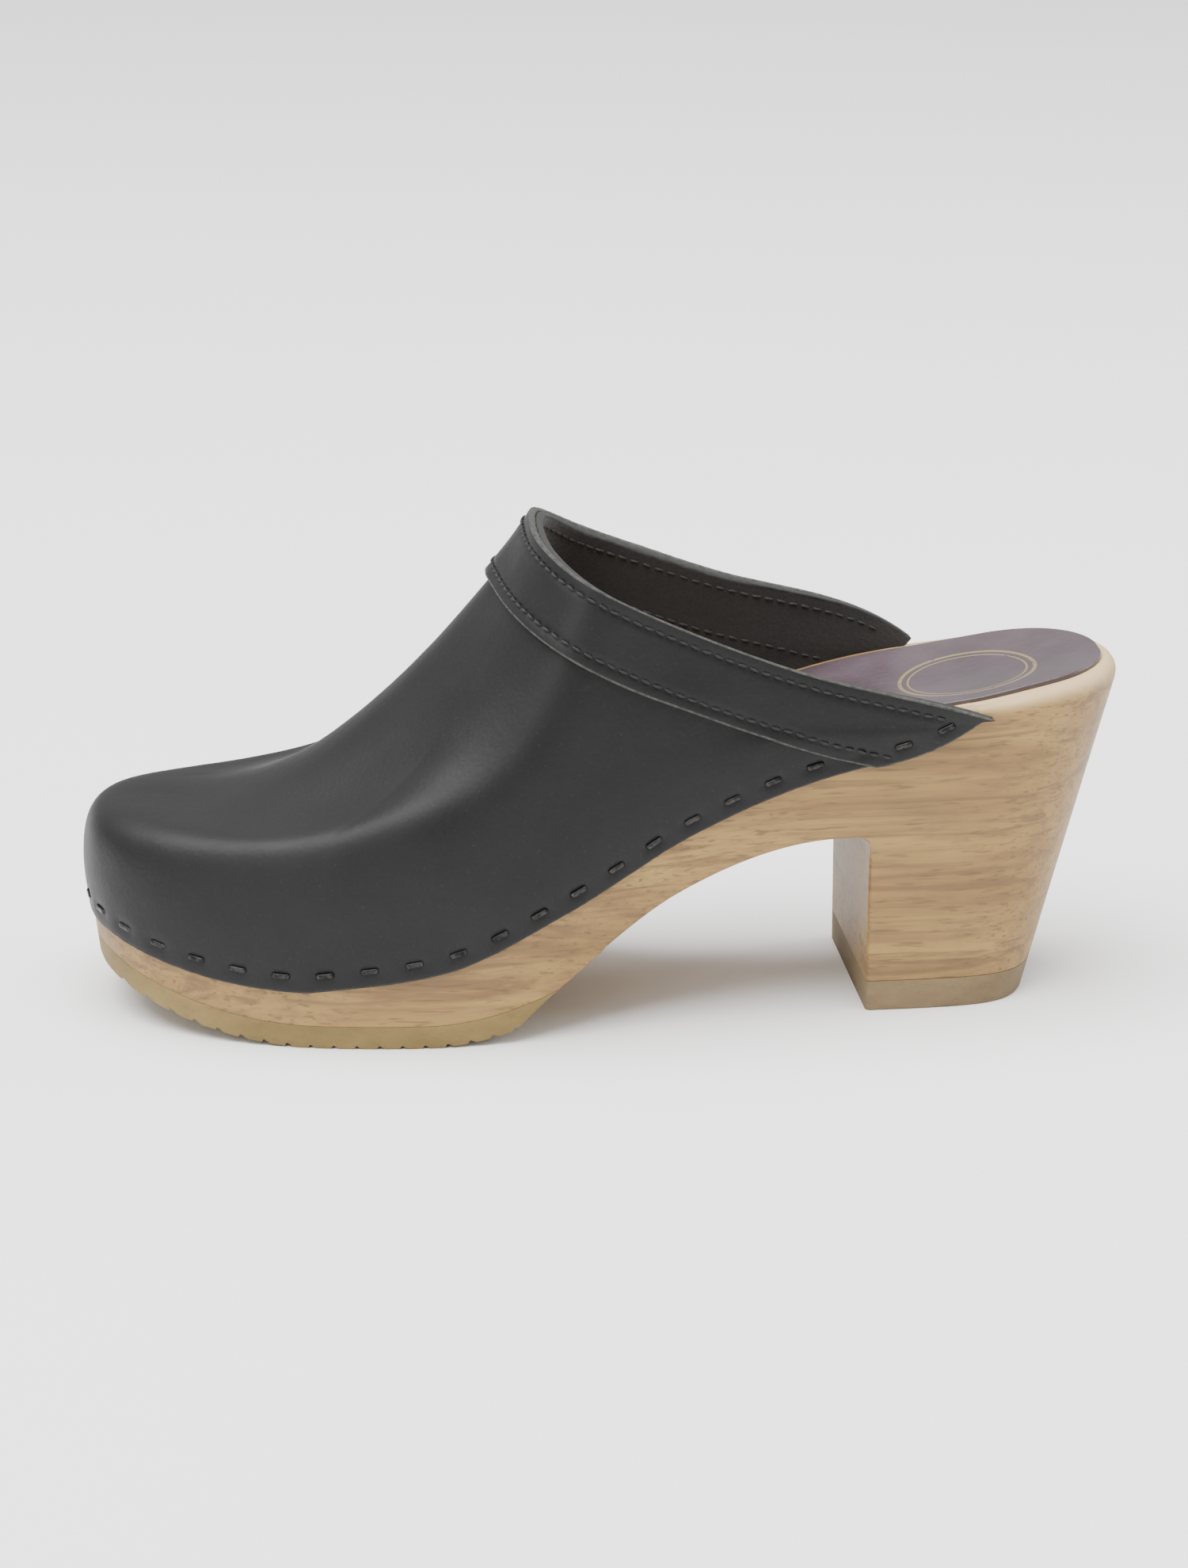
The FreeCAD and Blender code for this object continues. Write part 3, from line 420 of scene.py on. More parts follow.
class Look:
    """A material being made: its shader, its object space, and helpers that add and link nodes."""

    def __init__(self, name):
        self.material = bpy.data.materials.new(name)
        self.material.use_nodes = True
        self.tree = self.material.node_tree
        self.shader = self.tree.nodes["Principled BSDF"]
        self.place = self.node("ShaderNodeTexCoord")

    def node(self, kind, **values):
        made = self.tree.nodes.new(kind)
        for key, value in values.items():
            if hasattr(made, key):
                setattr(made, key, value)
            else:
                made.inputs[key.replace("_", " ")].default_value = value
        return made

    def link(self, source, target, source_socket=0, target_socket=0):
        self.tree.links.new(source.outputs[source_socket], target.inputs[target_socket])
        return target

    def texture(self, kind, stretch=(1, 1, 1), turn=(0, 0, 0), **values):
        """A texture over object space, stretched and turned."""
        mapping = self.node("ShaderNodeMapping")
        mapping.inputs["Scale"].default_value = stretch
        mapping.inputs["Rotation"].default_value = turn
        self.link(self.place, mapping, "Object", "Vector")
        return self.link(mapping, self.node(kind, **values), 0, "Vector")

    def ramp(self, source, stops):
        made = self.node("ShaderNodeValToRGB")
        for element, (place, value) in zip(made.color_ramp.elements, stops):
            element.position = place
            element.color = (value, value, value, 1)
        return self.link(source, made)

    def mix(self, kind, factor, first, second, factor_socket=0):
        """Colour mix; first and second are nodes or plain colours, factor a node or a number."""
        made = self.node("ShaderNodeMix", data_type="RGBA", blend_type=kind)
        if isinstance(factor, (int, float)):
            made.inputs[0].default_value = factor
        else:
            self.link(factor, made, factor_socket, 0)
        for socket, value in ((6, first), (7, second)):
            if hasattr(value, "outputs"):
                self.link(value, made, 2 if value.bl_idname == "ShaderNodeMix" else 0, socket)
            else:
                made.inputs[socket].default_value = tuple(value) + (1,)
        return made

    def tinted(self, source, stops, first, second):
        """The first colour with the second laid over it where a ramp on the source says."""
        return self.mix("MIX", self.ramp(source, stops), first, second)

    def roughened(self, source, low, high):
        made = self.node("ShaderNodeMapRange")
        made.inputs["To Min"].default_value = low
        made.inputs["To Max"].default_value = high
        self.link(self.link(source, made), self.shader, 0, "Roughness")

    def bumped(self, layers):
        """Chain of bumps: (source node, strength, distance)."""
        last = None
        for source, strength, distance in layers:
            bump = self.node("ShaderNodeBump")
            bump.inputs["Strength"].default_value = strength
            bump.inputs["Distance"].default_value = distance
            self.link(source, bump, 0, "Height")
            if last is not None:
                self.link(last, bump, 0, "Normal")
            last = bump
        self.link(last, self.shader, 0, "Normal")


def leather_material(name, dark, light, rough):
    look = Look(name)
    look.shader.inputs["Specular IOR Level"].default_value = 0.26
    broad = look.texture(NOISE, Scale=22.0, Detail=4.0, Roughness=0.6)
    fine = look.texture(NOISE, Scale=520.0, Detail=3.0, Roughness=0.7)
    specks = look.texture(NOISE, Scale=1500.0, Detail=1.0)
    grain = look.texture(CELLS, Scale=900.0, feature="F1")
    scuffs = look.texture(NOISE, (1, 3, 2), (0.2, 0.3, 0.5), Scale=60.0, Detail=6.0, Roughness=0.75)
    base = look.tinted(broad, [(0.35, 0.0), (0.7, 1.0)], dark, light)
    base = look.tinted(specks, [(0.68, 0.0), (0.76, 0.32)], base, [0.5 * a + 0.02 for a in light])
    base = look.tinted(scuffs, [(0.60, 0.0), (0.80, 0.30)], base, [1.7 * a + 0.004 for a in light])
    look.link(base, look.shader, 2, "Base Color")
    look.roughened(scuffs, rough - 0.07, rough + 0.09)
    look.bumped([(grain, 0.25, 0.00012), (fine, 0.35, 0.00010), (broad, 0.3, 0.0007)])
    return look.material


def suede_material(name, dark, light):
    look = Look(name)
    broad = look.texture(NOISE, Scale=45.0, Detail=5.0, Roughness=0.65)
    nap = look.texture(NOISE, Scale=1100.0, Detail=3.0, Roughness=0.8)
    base = look.tinted(broad, [(0.3, 0.0), (0.7, 1.0)], dark, light)
    base = look.mix("OVERLAY", 0.5, base, look.ramp(nap, [(0.3, 0.25), (0.7, 0.75)]))
    look.link(base, look.shader, 2, "Base Color")
    look.shader.inputs["Roughness"].default_value = 0.92
    look.shader.inputs["Sheen Weight"].default_value = 0.25
    look.bumped([(nap, 0.8, 0.0004), (broad, 0.3, 0.0008)])
    return look.material


def wood_material():
    look = Look("alder_wood")
    turn = (0.0, -0.09, 0.03)
    rings = look.texture(NOISE, (3.0, 30, 42), turn, Scale=2.4, Detail=5.0, Roughness=0.55, Distortion=0.6)
    streaks = look.texture(NOISE, (5, 240, 260), turn, Scale=2.0, Detail=4.0, Roughness=0.7)
    bands = look.texture(NOISE, (2.4, 46, 95), turn, Scale=3.0, Detail=3.0, Roughness=0.6, Distortion=1.1)
    flecks = look.texture(NOISE, (60, 900, 900), turn, Scale=1.6, Detail=2.0)
    smudge = look.texture(NOISE, (1, 1, 1.6), Scale=24.0, Detail=6.0, Roughness=0.75)
    base = look.tinted(rings, [(0.32, 0.0), (0.68, 1.0)], (0.205, 0.112, 0.026), (0.320, 0.198, 0.058))
    base = look.tinted(bands, [(0.50, 0.0), (0.64, 0.75)], base, (0.135, 0.070, 0.021))
    base = look.tinted(streaks, [(0.46, 0.0), (0.70, 0.62)], base, (0.135, 0.068, 0.021))
    base = look.tinted(flecks, [(0.58, 0.0), (0.68, 0.60)], base, (0.085, 0.042, 0.014))
    base = look.tinted(smudge, [(0.54, 0.0), (0.74, 0.45)], base, (0.105, 0.064, 0.032))
    # The tone attribute mixes in pale wood: a painted highlight along the top edge of the heel's walls, and a
    # plain pale colour on the footbed deck.
    tone = look.node("ShaderNodeAttribute", attribute_name="tone")
    base = look.mix("MIX", tone, base, (0.60, 0.44, 0.235), factor_socket="Fac")
    look.link(base, look.shader, 2, "Base Color")
    look.roughened(rings, 0.42, 0.62)
    look.bumped([(streaks, 0.25, 0.0003), (flecks, 0.22, 0.0003)])
    return look.material


def rubber_material(name, low, high, rough):
    look = Look(name)
    broad = look.texture(NOISE, (1, 1, 2), Scale=40.0, Detail=6.0, Roughness=0.7)
    dirt = look.texture(NOISE, (1, 1, 3), Scale=150.0, Detail=5.0, Roughness=0.8)
    fine = look.texture(NOISE, Scale=900.0, Detail=2.0)
    base = look.tinted(broad, [(0.35, 0.0), (0.68, 1.0)], low, high)
    base = look.tinted(dirt, [(0.54, 0.0), (0.80, 0.5)], base, [0.42 * a for a in low])
    look.link(base, look.shader, 2, "Base Color")
    look.shader.inputs["Roughness"].default_value = rough
    look.bumped([(fine, 0.35, 0.0002), (dirt, 0.3, 0.0003)])
    return look.material


def plain_material(name, dark, light, rough, metal=0.0, scale=300.0, depth=0.0001):
    look = Look(name)
    spots = look.texture(NOISE, Scale=scale, Detail=5.0, Roughness=0.7)
    base = look.tinted(spots, [(0.35, 0.0), (0.65, 1.0)], dark, light)
    look.link(base, look.shader, 2, "Base Color")
    look.shader.inputs["Roughness"].default_value = rough
    look.shader.inputs["Metallic"].default_value = metal
    look.bumped([(spots, 0.5, depth)])
    return look.material


def sock_material(centre, radii):
    """Glossy pebbled leather with a plain double ring in worn foil."""
    look = Look("sock_leather_look")
    broad = look.texture(NOISE, Scale=30.0, Detail=5.0, Roughness=0.65)
    pebbles = look.texture(CELLS, Scale=760.0, feature="SMOOTH_F1")
    fine = look.texture(NOISE, Scale=1200.0, Detail=2.0)
    wear = look.texture(NOISE, Scale=420.0, Detail=4.0, Roughness=0.7)
    base = look.tinted(broad, [(0.3, 0.0), (0.7, 1.0)], (0.045, 0.032, 0.038), (0.085, 0.062, 0.072))
    shift = look.link(look.place, look.node("ShaderNodeVectorMath", operation="SUBTRACT"), "Object")
    shift.inputs[1].default_value = tuple(centre)
    flat = look.link(shift, look.node("ShaderNodeVectorMath", operation="MULTIPLY"))
    flat.inputs[1].default_value = (1, 1, 0)
    reach = look.link(flat, look.node("ShaderNodeVectorMath", operation="LENGTH"))
    total = None
    for radius, width in radii:
        away = look.link(reach, look.node("ShaderNodeMath", operation="SUBTRACT"), "Value")
        away.inputs[1].default_value = radius
        size = look.link(away, look.node("ShaderNodeMath", operation="ABSOLUTE"))
        inside = look.link(size, look.node("ShaderNodeMath", operation="LESS_THAN"))
        inside.inputs[1].default_value = width / 2
        if total is not None:
            either = look.link(total, look.node("ShaderNodeMath", operation="MAXIMUM"))
            inside = look.link(inside, either, 0, 1)
        total = inside
    kept = look.link(total, look.node("ShaderNodeMath", operation="MULTIPLY"))
    look.link(look.ramp(wear, [(0.36, 0.0), (0.46, 0.9)]), kept, 0, 1)
    base = look.mix("MIX", kept, base, (0.62, 0.47, 0.24))
    look.link(base, look.shader, 2, "Base Color")
    look.link(kept, look.shader, 0, "Metallic")
    look.roughened(broad, 0.24, 0.42)
    look.bumped([(pebbles, 0.35, 0.00022), (fine, 0.2, 0.0001), (broad, 0.3, 0.0006)])
    return look.material


GRAIN = leather_material("upper_leather_look", (0.0036, 0.0035, 0.0040), (0.0072, 0.0068, 0.0072), 0.49)
BAND_GRAIN = leather_material("band_leather_look", (0.0042, 0.0042, 0.0048), (0.0085, 0.0083, 0.0088), 0.48)
CUT = plain_material("cut_edge_look", (0.018, 0.019, 0.016), (0.060, 0.062, 0.052), 0.9, scale=700.0,
                     depth=0.0004)
DARK_CUT = plain_material("lower_edge_look", (0.008, 0.008, 0.008), (0.022, 0.021, 0.019), 0.8, scale=700.0,
                          depth=0.0004)
SUEDE = suede_material("flesh_side_look", (0.0075, 0.0062, 0.0056), (0.015, 0.012, 0.0105))
WOOD = wood_material()
TREAD = rubber_material("tread_rubber_look", (0.150, 0.098, 0.026), (0.215, 0.146, 0.043), 0.66)
LIFT_RUBBER = rubber_material("lift_rubber_look", (0.135, 0.092, 0.042), (0.20, 0.142, 0.070), 0.75)
STEEL = plain_material("staple_steel_look", (0.006, 0.006, 0.006), (0.050, 0.048, 0.045), 0.32, 0.85, 600.0)
THREAD_LOOK = plain_material("thread_look", (0.0035, 0.0035, 0.0038), (0.009, 0.0088, 0.009), 0.72,
                             scale=2200.0)
INNER_THREAD = plain_material("inner_thread_look", (0.016, 0.013, 0.011), (0.034, 0.028, 0.024), 0.8,
                              scale=2200.0)
FELT = suede_material("stiffener_look", (0.20, 0.17, 0.13), (0.32, 0.28, 0.22))
FLOOR_LOOK = plain_material("floor_look", (0.93, 0.93, 0.93), (0.95, 0.95, 0.95), 0.9, 0.0, 2.0, 0.0)

# ------------------------------------------------------------------ the sole

CORNER = 1.2                          # rounding of the heel's vertical front corners
FILM = 0.02                           # the rubber pieces stop this far under the wood


def body(name, stations, underside, crown, material, stands_for, lower_radius, upper_radius=None,
         rows=46, deck=33, step=None, breast=None, tone=None, wobble=0.0, sharp=None):
    """A piece of the sole: sections from side to side, one at each station along it.

    underside and crown give heights from the place along; step(along, side) gives the height and the
    depth of the leather's rabbet; breast is where the heel's vertical corners are rounded."""
    sections = []
    tones = []
    quarter = np.linspace(0, math.pi / 2, 6)
    for along, floor_height in stations:
        sides = {}
        for side in (-1, 1):
            parameter = np.array([float(parameter_at(along, side))])
            lean = float(wall_frame(parameter)[2][0, 0])
            low = floor_height
            if low is None:
                low = underside(along + lean * (underside(along) - float(rim(along)) + PLAN_DROP))
            radius = upper_radius(along)
            top = crown(along, parameter, radius)
            low_radius = min(lower_radius(along), max(0.02, (top - low) * 0.4))
            radius = min(radius, max(0.02, (top - low) * 0.4))
            heights, insets = [], []
            for angle in quarter:
                heights.append(low + low_radius * (1 - math.cos(angle)))
                insets.append(low_radius * (1 - math.sin(angle)))
            start, end = low + low_radius, top - radius
            if step is None:
                between = np.linspace(start, end, rows)[1:-1]
                heights += list(between)
                insets += [0.0] * len(between)
            else:
                ledge, depth = step(along, side)
                ledge = min(max(ledge, start + 0.05), end - 0.1)
                lower = np.linspace(start, ledge, rows - 8)[1:]
                upper = np.linspace(ledge, end, 8)[:-1]
                heights += list(lower) + list(upper)
                insets += [0.0] * len(lower) + [depth] * len(upper)
            extra = insets[-1]
            for angle in quarter:
                heights.append(end + radius * math.sin(angle))
                insets.append(extra + radius * (1 - math.cos(angle)))
            heights, insets = np.array(heights), np.array(insets)
            if breast is not None and BREAST - 0.05 < along < BREAST + CORNER and floor_height is not None:
                away = min(max(along - BREAST, 0.0), CORNER)
                corner = CORNER - math.sqrt(max(0.0, CORNER ** 2 - (CORNER - away) ** 2))
                fade = np.clip((float(arch(BREAST)) - FILLET - heights) / 2.0, 0, 1)
                insets = insets + corner * fade
            points = wall(np.repeat(parameter, len(heights)), heights, insets)
            sides[side] = points
        lateral, medial = sides[-1], sides[1]
        across = (np.linspace(0, 1, deck + 2)[1:-1])[:, None]
        top_row = lateral[-1] + (medial[-1] - lateral[-1]) * across
        low_row = medial[0] + (lateral[0] - medial[0]) * across
        if step is not None:
            bed = footbed(top_row[:, 0], top_row[:, 1])
            ends = (lateral[-1, 2] - footbed(lateral[-1:, 0], lateral[-1:, 1])[0],
                    medial[-1, 2] - footbed(medial[-1:, 0], medial[-1:, 1])[0])
            near = np.minimum(across[:, 0], 1 - across[:, 0])
            top_row[:, 2] = bed + (ends[0] * (1 - across[:, 0]) + ends[1] * across[:, 0]) * np.exp(-near * 12)
        section = np.concatenate([lateral, top_row, medial[::-1], low_row])
        sections.append(section)
        # tone: the walls take the painted highlight along the heel's top edge from the tone function; the
        # footbed deck is fully pale.
        if tone is not None:
            count = len(lateral)
            values = np.zeros(len(section))
            values[:count] = tone(along, lateral)
            values[count:count + deck] = 1.0
            values[count + deck:count * 2 + deck] = tone(along, medial[::-1])
            tones.append(values)
    points = np.array(sections)
    if wobble:
        centre = points.mean(axis=1, keepdims=True)
        out = points - centre
        out /= np.maximum(np.linalg.norm(out, axis=-1, keepdims=True), 1e-6)
        points = points + out * (noise(points, 17.0) * wobble)[..., None] * [1, 1, 0]
    count = points.shape[1]
    faces, _ = tube_faces(len(sections), count, flip=True)
    tone_values = np.concatenate(tones) if tones else None
    return build(name, points.reshape(-1, 3), faces, [material], None, stands_for, sharp=sharp,
                 tone=tone_values)


def spread(start, end, count, ease_start=True, ease_end=True):
    share = np.linspace(0, 1, count)
    if ease_start and ease_end:
        share = (1 - np.cos(share * math.pi)) / 2
    elif ease_start:
        share = 1 - np.cos(share * math.pi / 2)
    elif ease_end:
        share = np.sin(share * math.pi / 2)
    return start + (end - start) * share


def outsole_top(along):
    return tread(along) + RUBBER


def cross(first, second, low, high):
    for _ in range(40):
        middle = (low + high) / 2
        if first(middle) > second(middle):
            high = middle
        else:
            low = middle
    return low


WOOD_END = cross(arch, outsole_top, TREAD_END, 0.5 * LENGTH)


def wood_under(along):
    along = float(along)
    if along >= BREAST:
        return LIFT
    base = float(outsole_top(along)) if along < WOOD_END else float(arch(along))
    hollow = BREAST - FILLET
    if along > hollow:
        return float(arch(hollow)) - FILLET + math.sqrt(max(0.0, FILLET ** 2 - (along - hollow) ** 2))
    return base


def wood_crown(along, parameter, radius):
    """Height where the rounded rim ends: the footbed's height just inside it."""
    inside = wall(parameter, np.array([float(rim(along))]), np.array([radius]))[0]
    return float(footbed(np.array([inside[0]]), np.array([inside[1]]))[0])


def rim_radius(along):
    return 1.2 + 2.6 * float(np.clip((along / LENGTH - 0.80) / 0.12, 0, 1))


def rabbet_step(along, side):
    tip = TIP_AT[side] * LENGTH
    ledge = float(leather_edge(min(along, tip), TIP_AT[side])) - GAP
    return ledge, RABBET if along < tip else 0.0


def wood_lower_radius(along):
    if along < 118:
        return 0.15
    return 1.1 if along < BREAST else 0.3


def heel_rim_painted_highlight(along, points):
    """Painted highlight along the heel's top edge, where light catches the rounded rim: pale at the rim,
    fading darker down the walls.
    """
    below = rim(along) - points[:, 2]
    behind = np.clip((along / LENGTH - 0.78) / 0.1, 0, 1)
    return np.clip(1 - (below - 0.6) / 3.4, 0, 1) * behind * 0.9


roof = float(arch(BREAST - FILLET)) - FILLET
wood_stations = [(x, None) for x in spread(FRONT, 60, 90, True, False)]
wood_stations += [(x, None) for x in np.linspace(60, BREAST - FILLET, 120)[1:]]
wood_stations += [(BREAST - FILLET + FILLET * math.sin(a), None)
                  for a in np.linspace(0, math.pi / 2, 8)[1:-1]]
wood_stations += [(BREAST - 0.02 + 0.02 * k / 24, float(h))
                  for k, h in enumerate(np.linspace(roof, LIFT, 25))]
wood_stations += [(BREAST + CORNER * (1 - math.cos(a)), LIFT) for a in np.linspace(0, math.pi / 2, 7)[1:]]
wood_stations += [(x, LIFT) for x in spread(BREAST + 1.7, BACK, 110, False, True)]
# The wood's tone carries a painted highlight along the heel's top edge.
body("clog_wood", wood_stations, wood_under, wood_crown, WOOD, ["wooden_sole"], wood_lower_radius,
     rim_radius, step=rabbet_step, breast=BREAST, tone=heel_rim_painted_highlight, wobble=0.12, sharp=50)


RIB_SHARE = 0.62                      # flat of a tread rib, as a share of the pitch
FIRST_RIB = TREAD_START - PITCH * math.floor((TREAD_START + 40.0) / PITCH)


def rib_underside(along):
    along = float(along)
    part = ((along - FIRST_RIB) % PITCH) / PITCH
    groove = 0.0
    if part > RIB_SHARE:
        groove = GROOVE * min(1.0, (part - RIB_SHARE) / 0.10) * min(1.0, (1 - part) / 0.28)
    return max(float(tread(along)) + groove, float(arch(along)) if along > 90 else 0.0)


def outsole_crown(along, parameter, _):
    lean = float(wall_frame(parameter)[2][0, 0])
    there = along + lean * (float(outsole_top(along)) - float(rim(along)) + PLAN_DROP)
    return float(outsole_top(there)) - FILM


tread_stations = [(x, None) for x in spread(FRONT, 4.0, 26, True, False)]
tread_stations += [(x, None) for x in np.arange(4.2, WOOD_END - 0.3, 0.26)]
body("forefoot_tread", tread_stations, rib_underside, outsole_crown, TREAD,
     ["forefoot_outsole"], lambda along: 0.25, lambda along: 0.12, rows=14, deck=21, wobble=0.1, sharp=35)


lift_stations = [(BREAST + 0.02 + CORNER * (1 - math.cos(a)), 0.0) for a in np.linspace(0, math.pi / 2, 7)]
lift_stations += [(x, 0.0) for x in spread(BREAST + 1.7, BACK, 90, False, True)]
body("heel_tread", lift_stations, lambda along: 0.0, lambda *_: LIFT - FILM, LIFT_RUBBER,
     ["heel_lift"], lambda along: 0.5, lambda along: 0.15, rows=14, deck=21, breast=BREAST, wobble=0.12,
     sharp=50)

# ------------------------------------------------------------------ the leather

def evenly(leather, distance, offset, pitch, start_gap, end_gap):
    """Places across, one pitch apart along a row at a distance up the lines."""
    path, _ = leather.at(distance, offset)
    runs = chords(path)
    usable = runs[-1] - start_gap - end_gap
    count = int(usable // pitch)
    slack = (usable - count * pitch) / 2
    wanted = start_gap + slack + pitch * np.arange(count + 1)
    return np.interp(wanted, runs, leather.across)


fine_lines = Leather(np.linspace(0, 1, 601))
foot_row = fine_lines.lines[:, 0]
foot_runs = chords(foot_row)
STAPLE_END = 8.0                      # from each tip of the leather to where staples may start
usable = foot_runs[-1] - 2 * STAPLE_END
staple_count = int(usable // STAPLE_PITCH)
slack = (usable - staple_count * STAPLE_PITCH) / 2
staple_runs = STAPLE_END + slack + STAPLE_PITCH * np.arange(staple_count + 1)
staple_across = np.interp(staple_runs, foot_runs, fine_lines.across)
covered = np.interp(staple_across, fine_lines.across, (fine_lines.length <= BAND).astype(float)) > 0.5
staple_lines = Leather(staple_across)
staple_face, staple_out = staple_lines.at(STAPLE_MARGIN, np.where(covered, COLLAR + GAP, 0.0))
staple_after = Leather(np.clip(staple_across + NUDGE, 0, 1)).at(STAPLE_MARGIN)[0]
staple_before = Leather(np.clip(staple_across - NUDGE, 0, 1)).at(STAPLE_MARGIN)[0]
staple_way = staple_after - staple_before
staple_way -= staple_out * np.sum(staple_way * staple_out, axis=1, keepdims=True)
staple_way /= np.linalg.norm(staple_way, axis=1, keepdims=True)


def dents(points, centres, ways, outs, long_size, short_size, depth):
    """How far the leather is pressed in round each of some small places."""
    total = np.zeros(len(points))
    for centre, way, out in zip(centres, ways, outs):
        away = points - centre
        near = np.abs(away).max(axis=1) < 4 * max(long_size, short_size)
        if not near.any():
            continue
        there = away[near]
        along = there @ way
        across = there @ np.cross(out, way)
        deep = np.exp(-((along / long_size) ** 4) - (across / short_size) ** 2)
        total[near] = np.maximum(total[near], depth * deep)
    return total


ROWS = {"upper": STITCH_MARGIN, "lower": BAND - STITCH_MARGIN}
END_GAPS = {"upper": BAND * 0.5, "lower": BAND * 1.3}
stitch_places = {}
for row, depth in ROWS.items():
    distance = np.maximum(fine_lines.length - depth, 0)
    places = evenly(fine_lines, distance, 2 * GAP + COLLAR, STITCH_PITCH, END_GAPS[row], END_GAPS[row])
    lines = Leather(places)
    ahead, behind = Leather(np.clip(places + 0.001, 0, 1)), Leather(np.clip(places - 0.001, 0, 1))
    centre, out = lines.at(np.maximum(lines.length - depth, 0), GAP + COLLAR)
    way = ahead.at(np.maximum(ahead.length - depth, 0))[0]
    way -= behind.at(np.maximum(behind.length - depth, 0))[0]
    way -= out * np.sum(way * out, axis=1, keepdims=True)
    way /= np.linalg.norm(way, axis=1, keepdims=True)
    inner, _ = lines.at(np.maximum(lines.length - depth, 0), -THICK)
    stitch_places[row] = (centre, way, out, inner)


def upper_relief(place, kind):
    if kind == 2:
        return noise(place, 9.0) * 0.15
    soft = noise(place, 26.0) * 0.28 + noise(place, 11.0) * 0.10 + noise(place, 4.5) * 0.03
    return soft - dents(place, staple_face, staple_way, staple_out, 3.0, 1.5, 0.42)


def band_relief(place, kind):
    soft = noise(place, 14.0) * 0.10 + noise(place, 5.0) * 0.05
    total = soft - dents(place, staple_face, staple_way, staple_out, 3.0, 1.5, 0.40)
    if kind != 2:
        for centre, way, out, _ in stitch_places.values():
            total -= dents(place, centre, way, out, 1.7, 0.9, 0.22)
    return total


upper_lines = Leather(np.linspace(0, 1, 521))
strip("leather_vamp", upper_lines, 0.0, upper_lines.length, 0.0, -THICK, 150, 0.55,
      [GRAIN, DARK_CUT, SUEDE], ["leather_upper"], relief=upper_relief, fray=0.12)
band_lines = Leather(np.linspace(0, 1, 561))
hand_cut = noise(band_lines.lines[:, -1] * [1, 1, 0.3], 16.0) * 0.35
strip("collar_strip", band_lines, np.maximum(band_lines.length - BAND + hand_cut, 0.0), band_lines.length,
      GAP + COLLAR, GAP * 0.6, 44, 0.5, [BAND_GRAIN, CUT, SUEDE], ["collar_band"],
      relief=band_relief, fray=0.16)
puff_lines = Leather(np.linspace(0.39, 0.61, 60))
puff_low = np.minimum(LAP + 2.0, puff_lines.length * 0.3)
puff_high = np.minimum(PUFF_LENGTH, puff_lines.length * 0.5)
strip("toe_stiffener", puff_lines, puff_low, puff_high, -THICK - GAP, -THICK - GAP - PUFF, 40, 0.3,
      [FELT, FELT, FELT], ["toe_puff"])


# ------------------------------------------------------------------ threads and staples

def threads(name, centres, ways, outs, material, stands_for, lift=0.16, sink=0.9):
    """Short stitches of two-ply thread that dive into the leather at both ends."""
    points, faces = [], []
    around, steps = 10, 13
    for number, (centre, way, out) in enumerate(zip(centres, ways, outs)):
        side = np.cross(out, way)
        slant = 0.10 * math.sin(number * 2.4)
        base = len(points)
        for step in range(steps):
            share = 2 * step / (steps - 1) - 1
            height = lift - sink * abs(share) ** 5
            place = centre + way * share * (STITCH / 2 + 0.12) + side * slant * share + out * height
            for spot in range(around):
                angle = 2 * math.pi * spot / around
                ply = 1 + 0.16 * math.cos(2 * angle - share * 5.0)
                size = THREAD / 2 * ply
                points.append(place + side * math.cos(angle) * size + out * math.sin(angle) * size * 0.9)
        faces += [tuple(base + spot for spot in face) for face in tube_faces(steps, around)[0]]
    return build(name, points, faces, [material], None, stands_for)


for row, node_name in (("upper", "collar_stitches_upper"), ("lower", "collar_stitches_lower")):
    centre, way, out, inner = stitch_places[row]
    threads(f"outer_thread_{row}", centre, way, out, THREAD_LOOK, [node_name])
    threads(f"lining_thread_{row}", inner, way, -out, INNER_THREAD, ())


def wire_staples():
    points, faces = [], []
    around = 12
    turns = np.linspace(0, 2 * math.pi, around, endpoint=False)
    squircle = [(math.copysign(abs(math.cos(t)) ** 0.6, math.cos(t)) * WIRE / 2,
                 math.copysign(abs(math.sin(t)) ** 0.6, math.sin(t)) * GAUGE / 2) for t in turns]
    bend = 0.7
    half = CROWN / 2 - GAUGE / 2
    for face, way, out in zip(staple_face, staple_way, staple_out):
        width_way = np.cross(out, way)
        path, normals = [], []
        for depth in (4.0, 2.0, bend):
            path.append(-half * way - (depth - 0.05) * out)
            normals.append(-way)
        for angle in np.linspace(0, math.pi / 2, 6)[1:]:
            path.append((-half + bend * (1 - math.cos(angle))) * way
                        + (-bend + bend * math.sin(angle) + 0.05) * out)
            normals.append(-way * math.cos(angle) + out * math.sin(angle))
        for share in (-0.4, 0.0, 0.4):
            path.append(share * CROWN / 2 * way + (0.05 - 0.06 * (1 - abs(share))) * out)
            normals.append(out)
        mirrored = [(place - 2 * way * (place @ way), normal - 2 * way * (normal @ way))
                    for place, normal in list(zip(path, normals))[:8][::-1]]
        path += [place for place, _ in mirrored]
        normals += [normal for _, normal in mirrored]
        base = len(points)
        for place, normal in zip(path, normals):
            for x, y in squircle:
                points.append(face + place + width_way * x + normal * y)
        faces += [tuple(base + spot for spot in face) for face in tube_faces(len(path), around)[0]]
    return build("wire_staples", points, faces, [STEEL], None, ["staples"])


wire_staples()

# ------------------------------------------------------------------ the heel sock

SOCK_EDGE = 0.6                       # rounding of the sock's edge
RING_CENTRE = (208.0, 0.8, 0.0)
RINGS = [(0.0158, 0.0009), (0.0139, 0.0005)]   # radius and width of each foil ring, metres


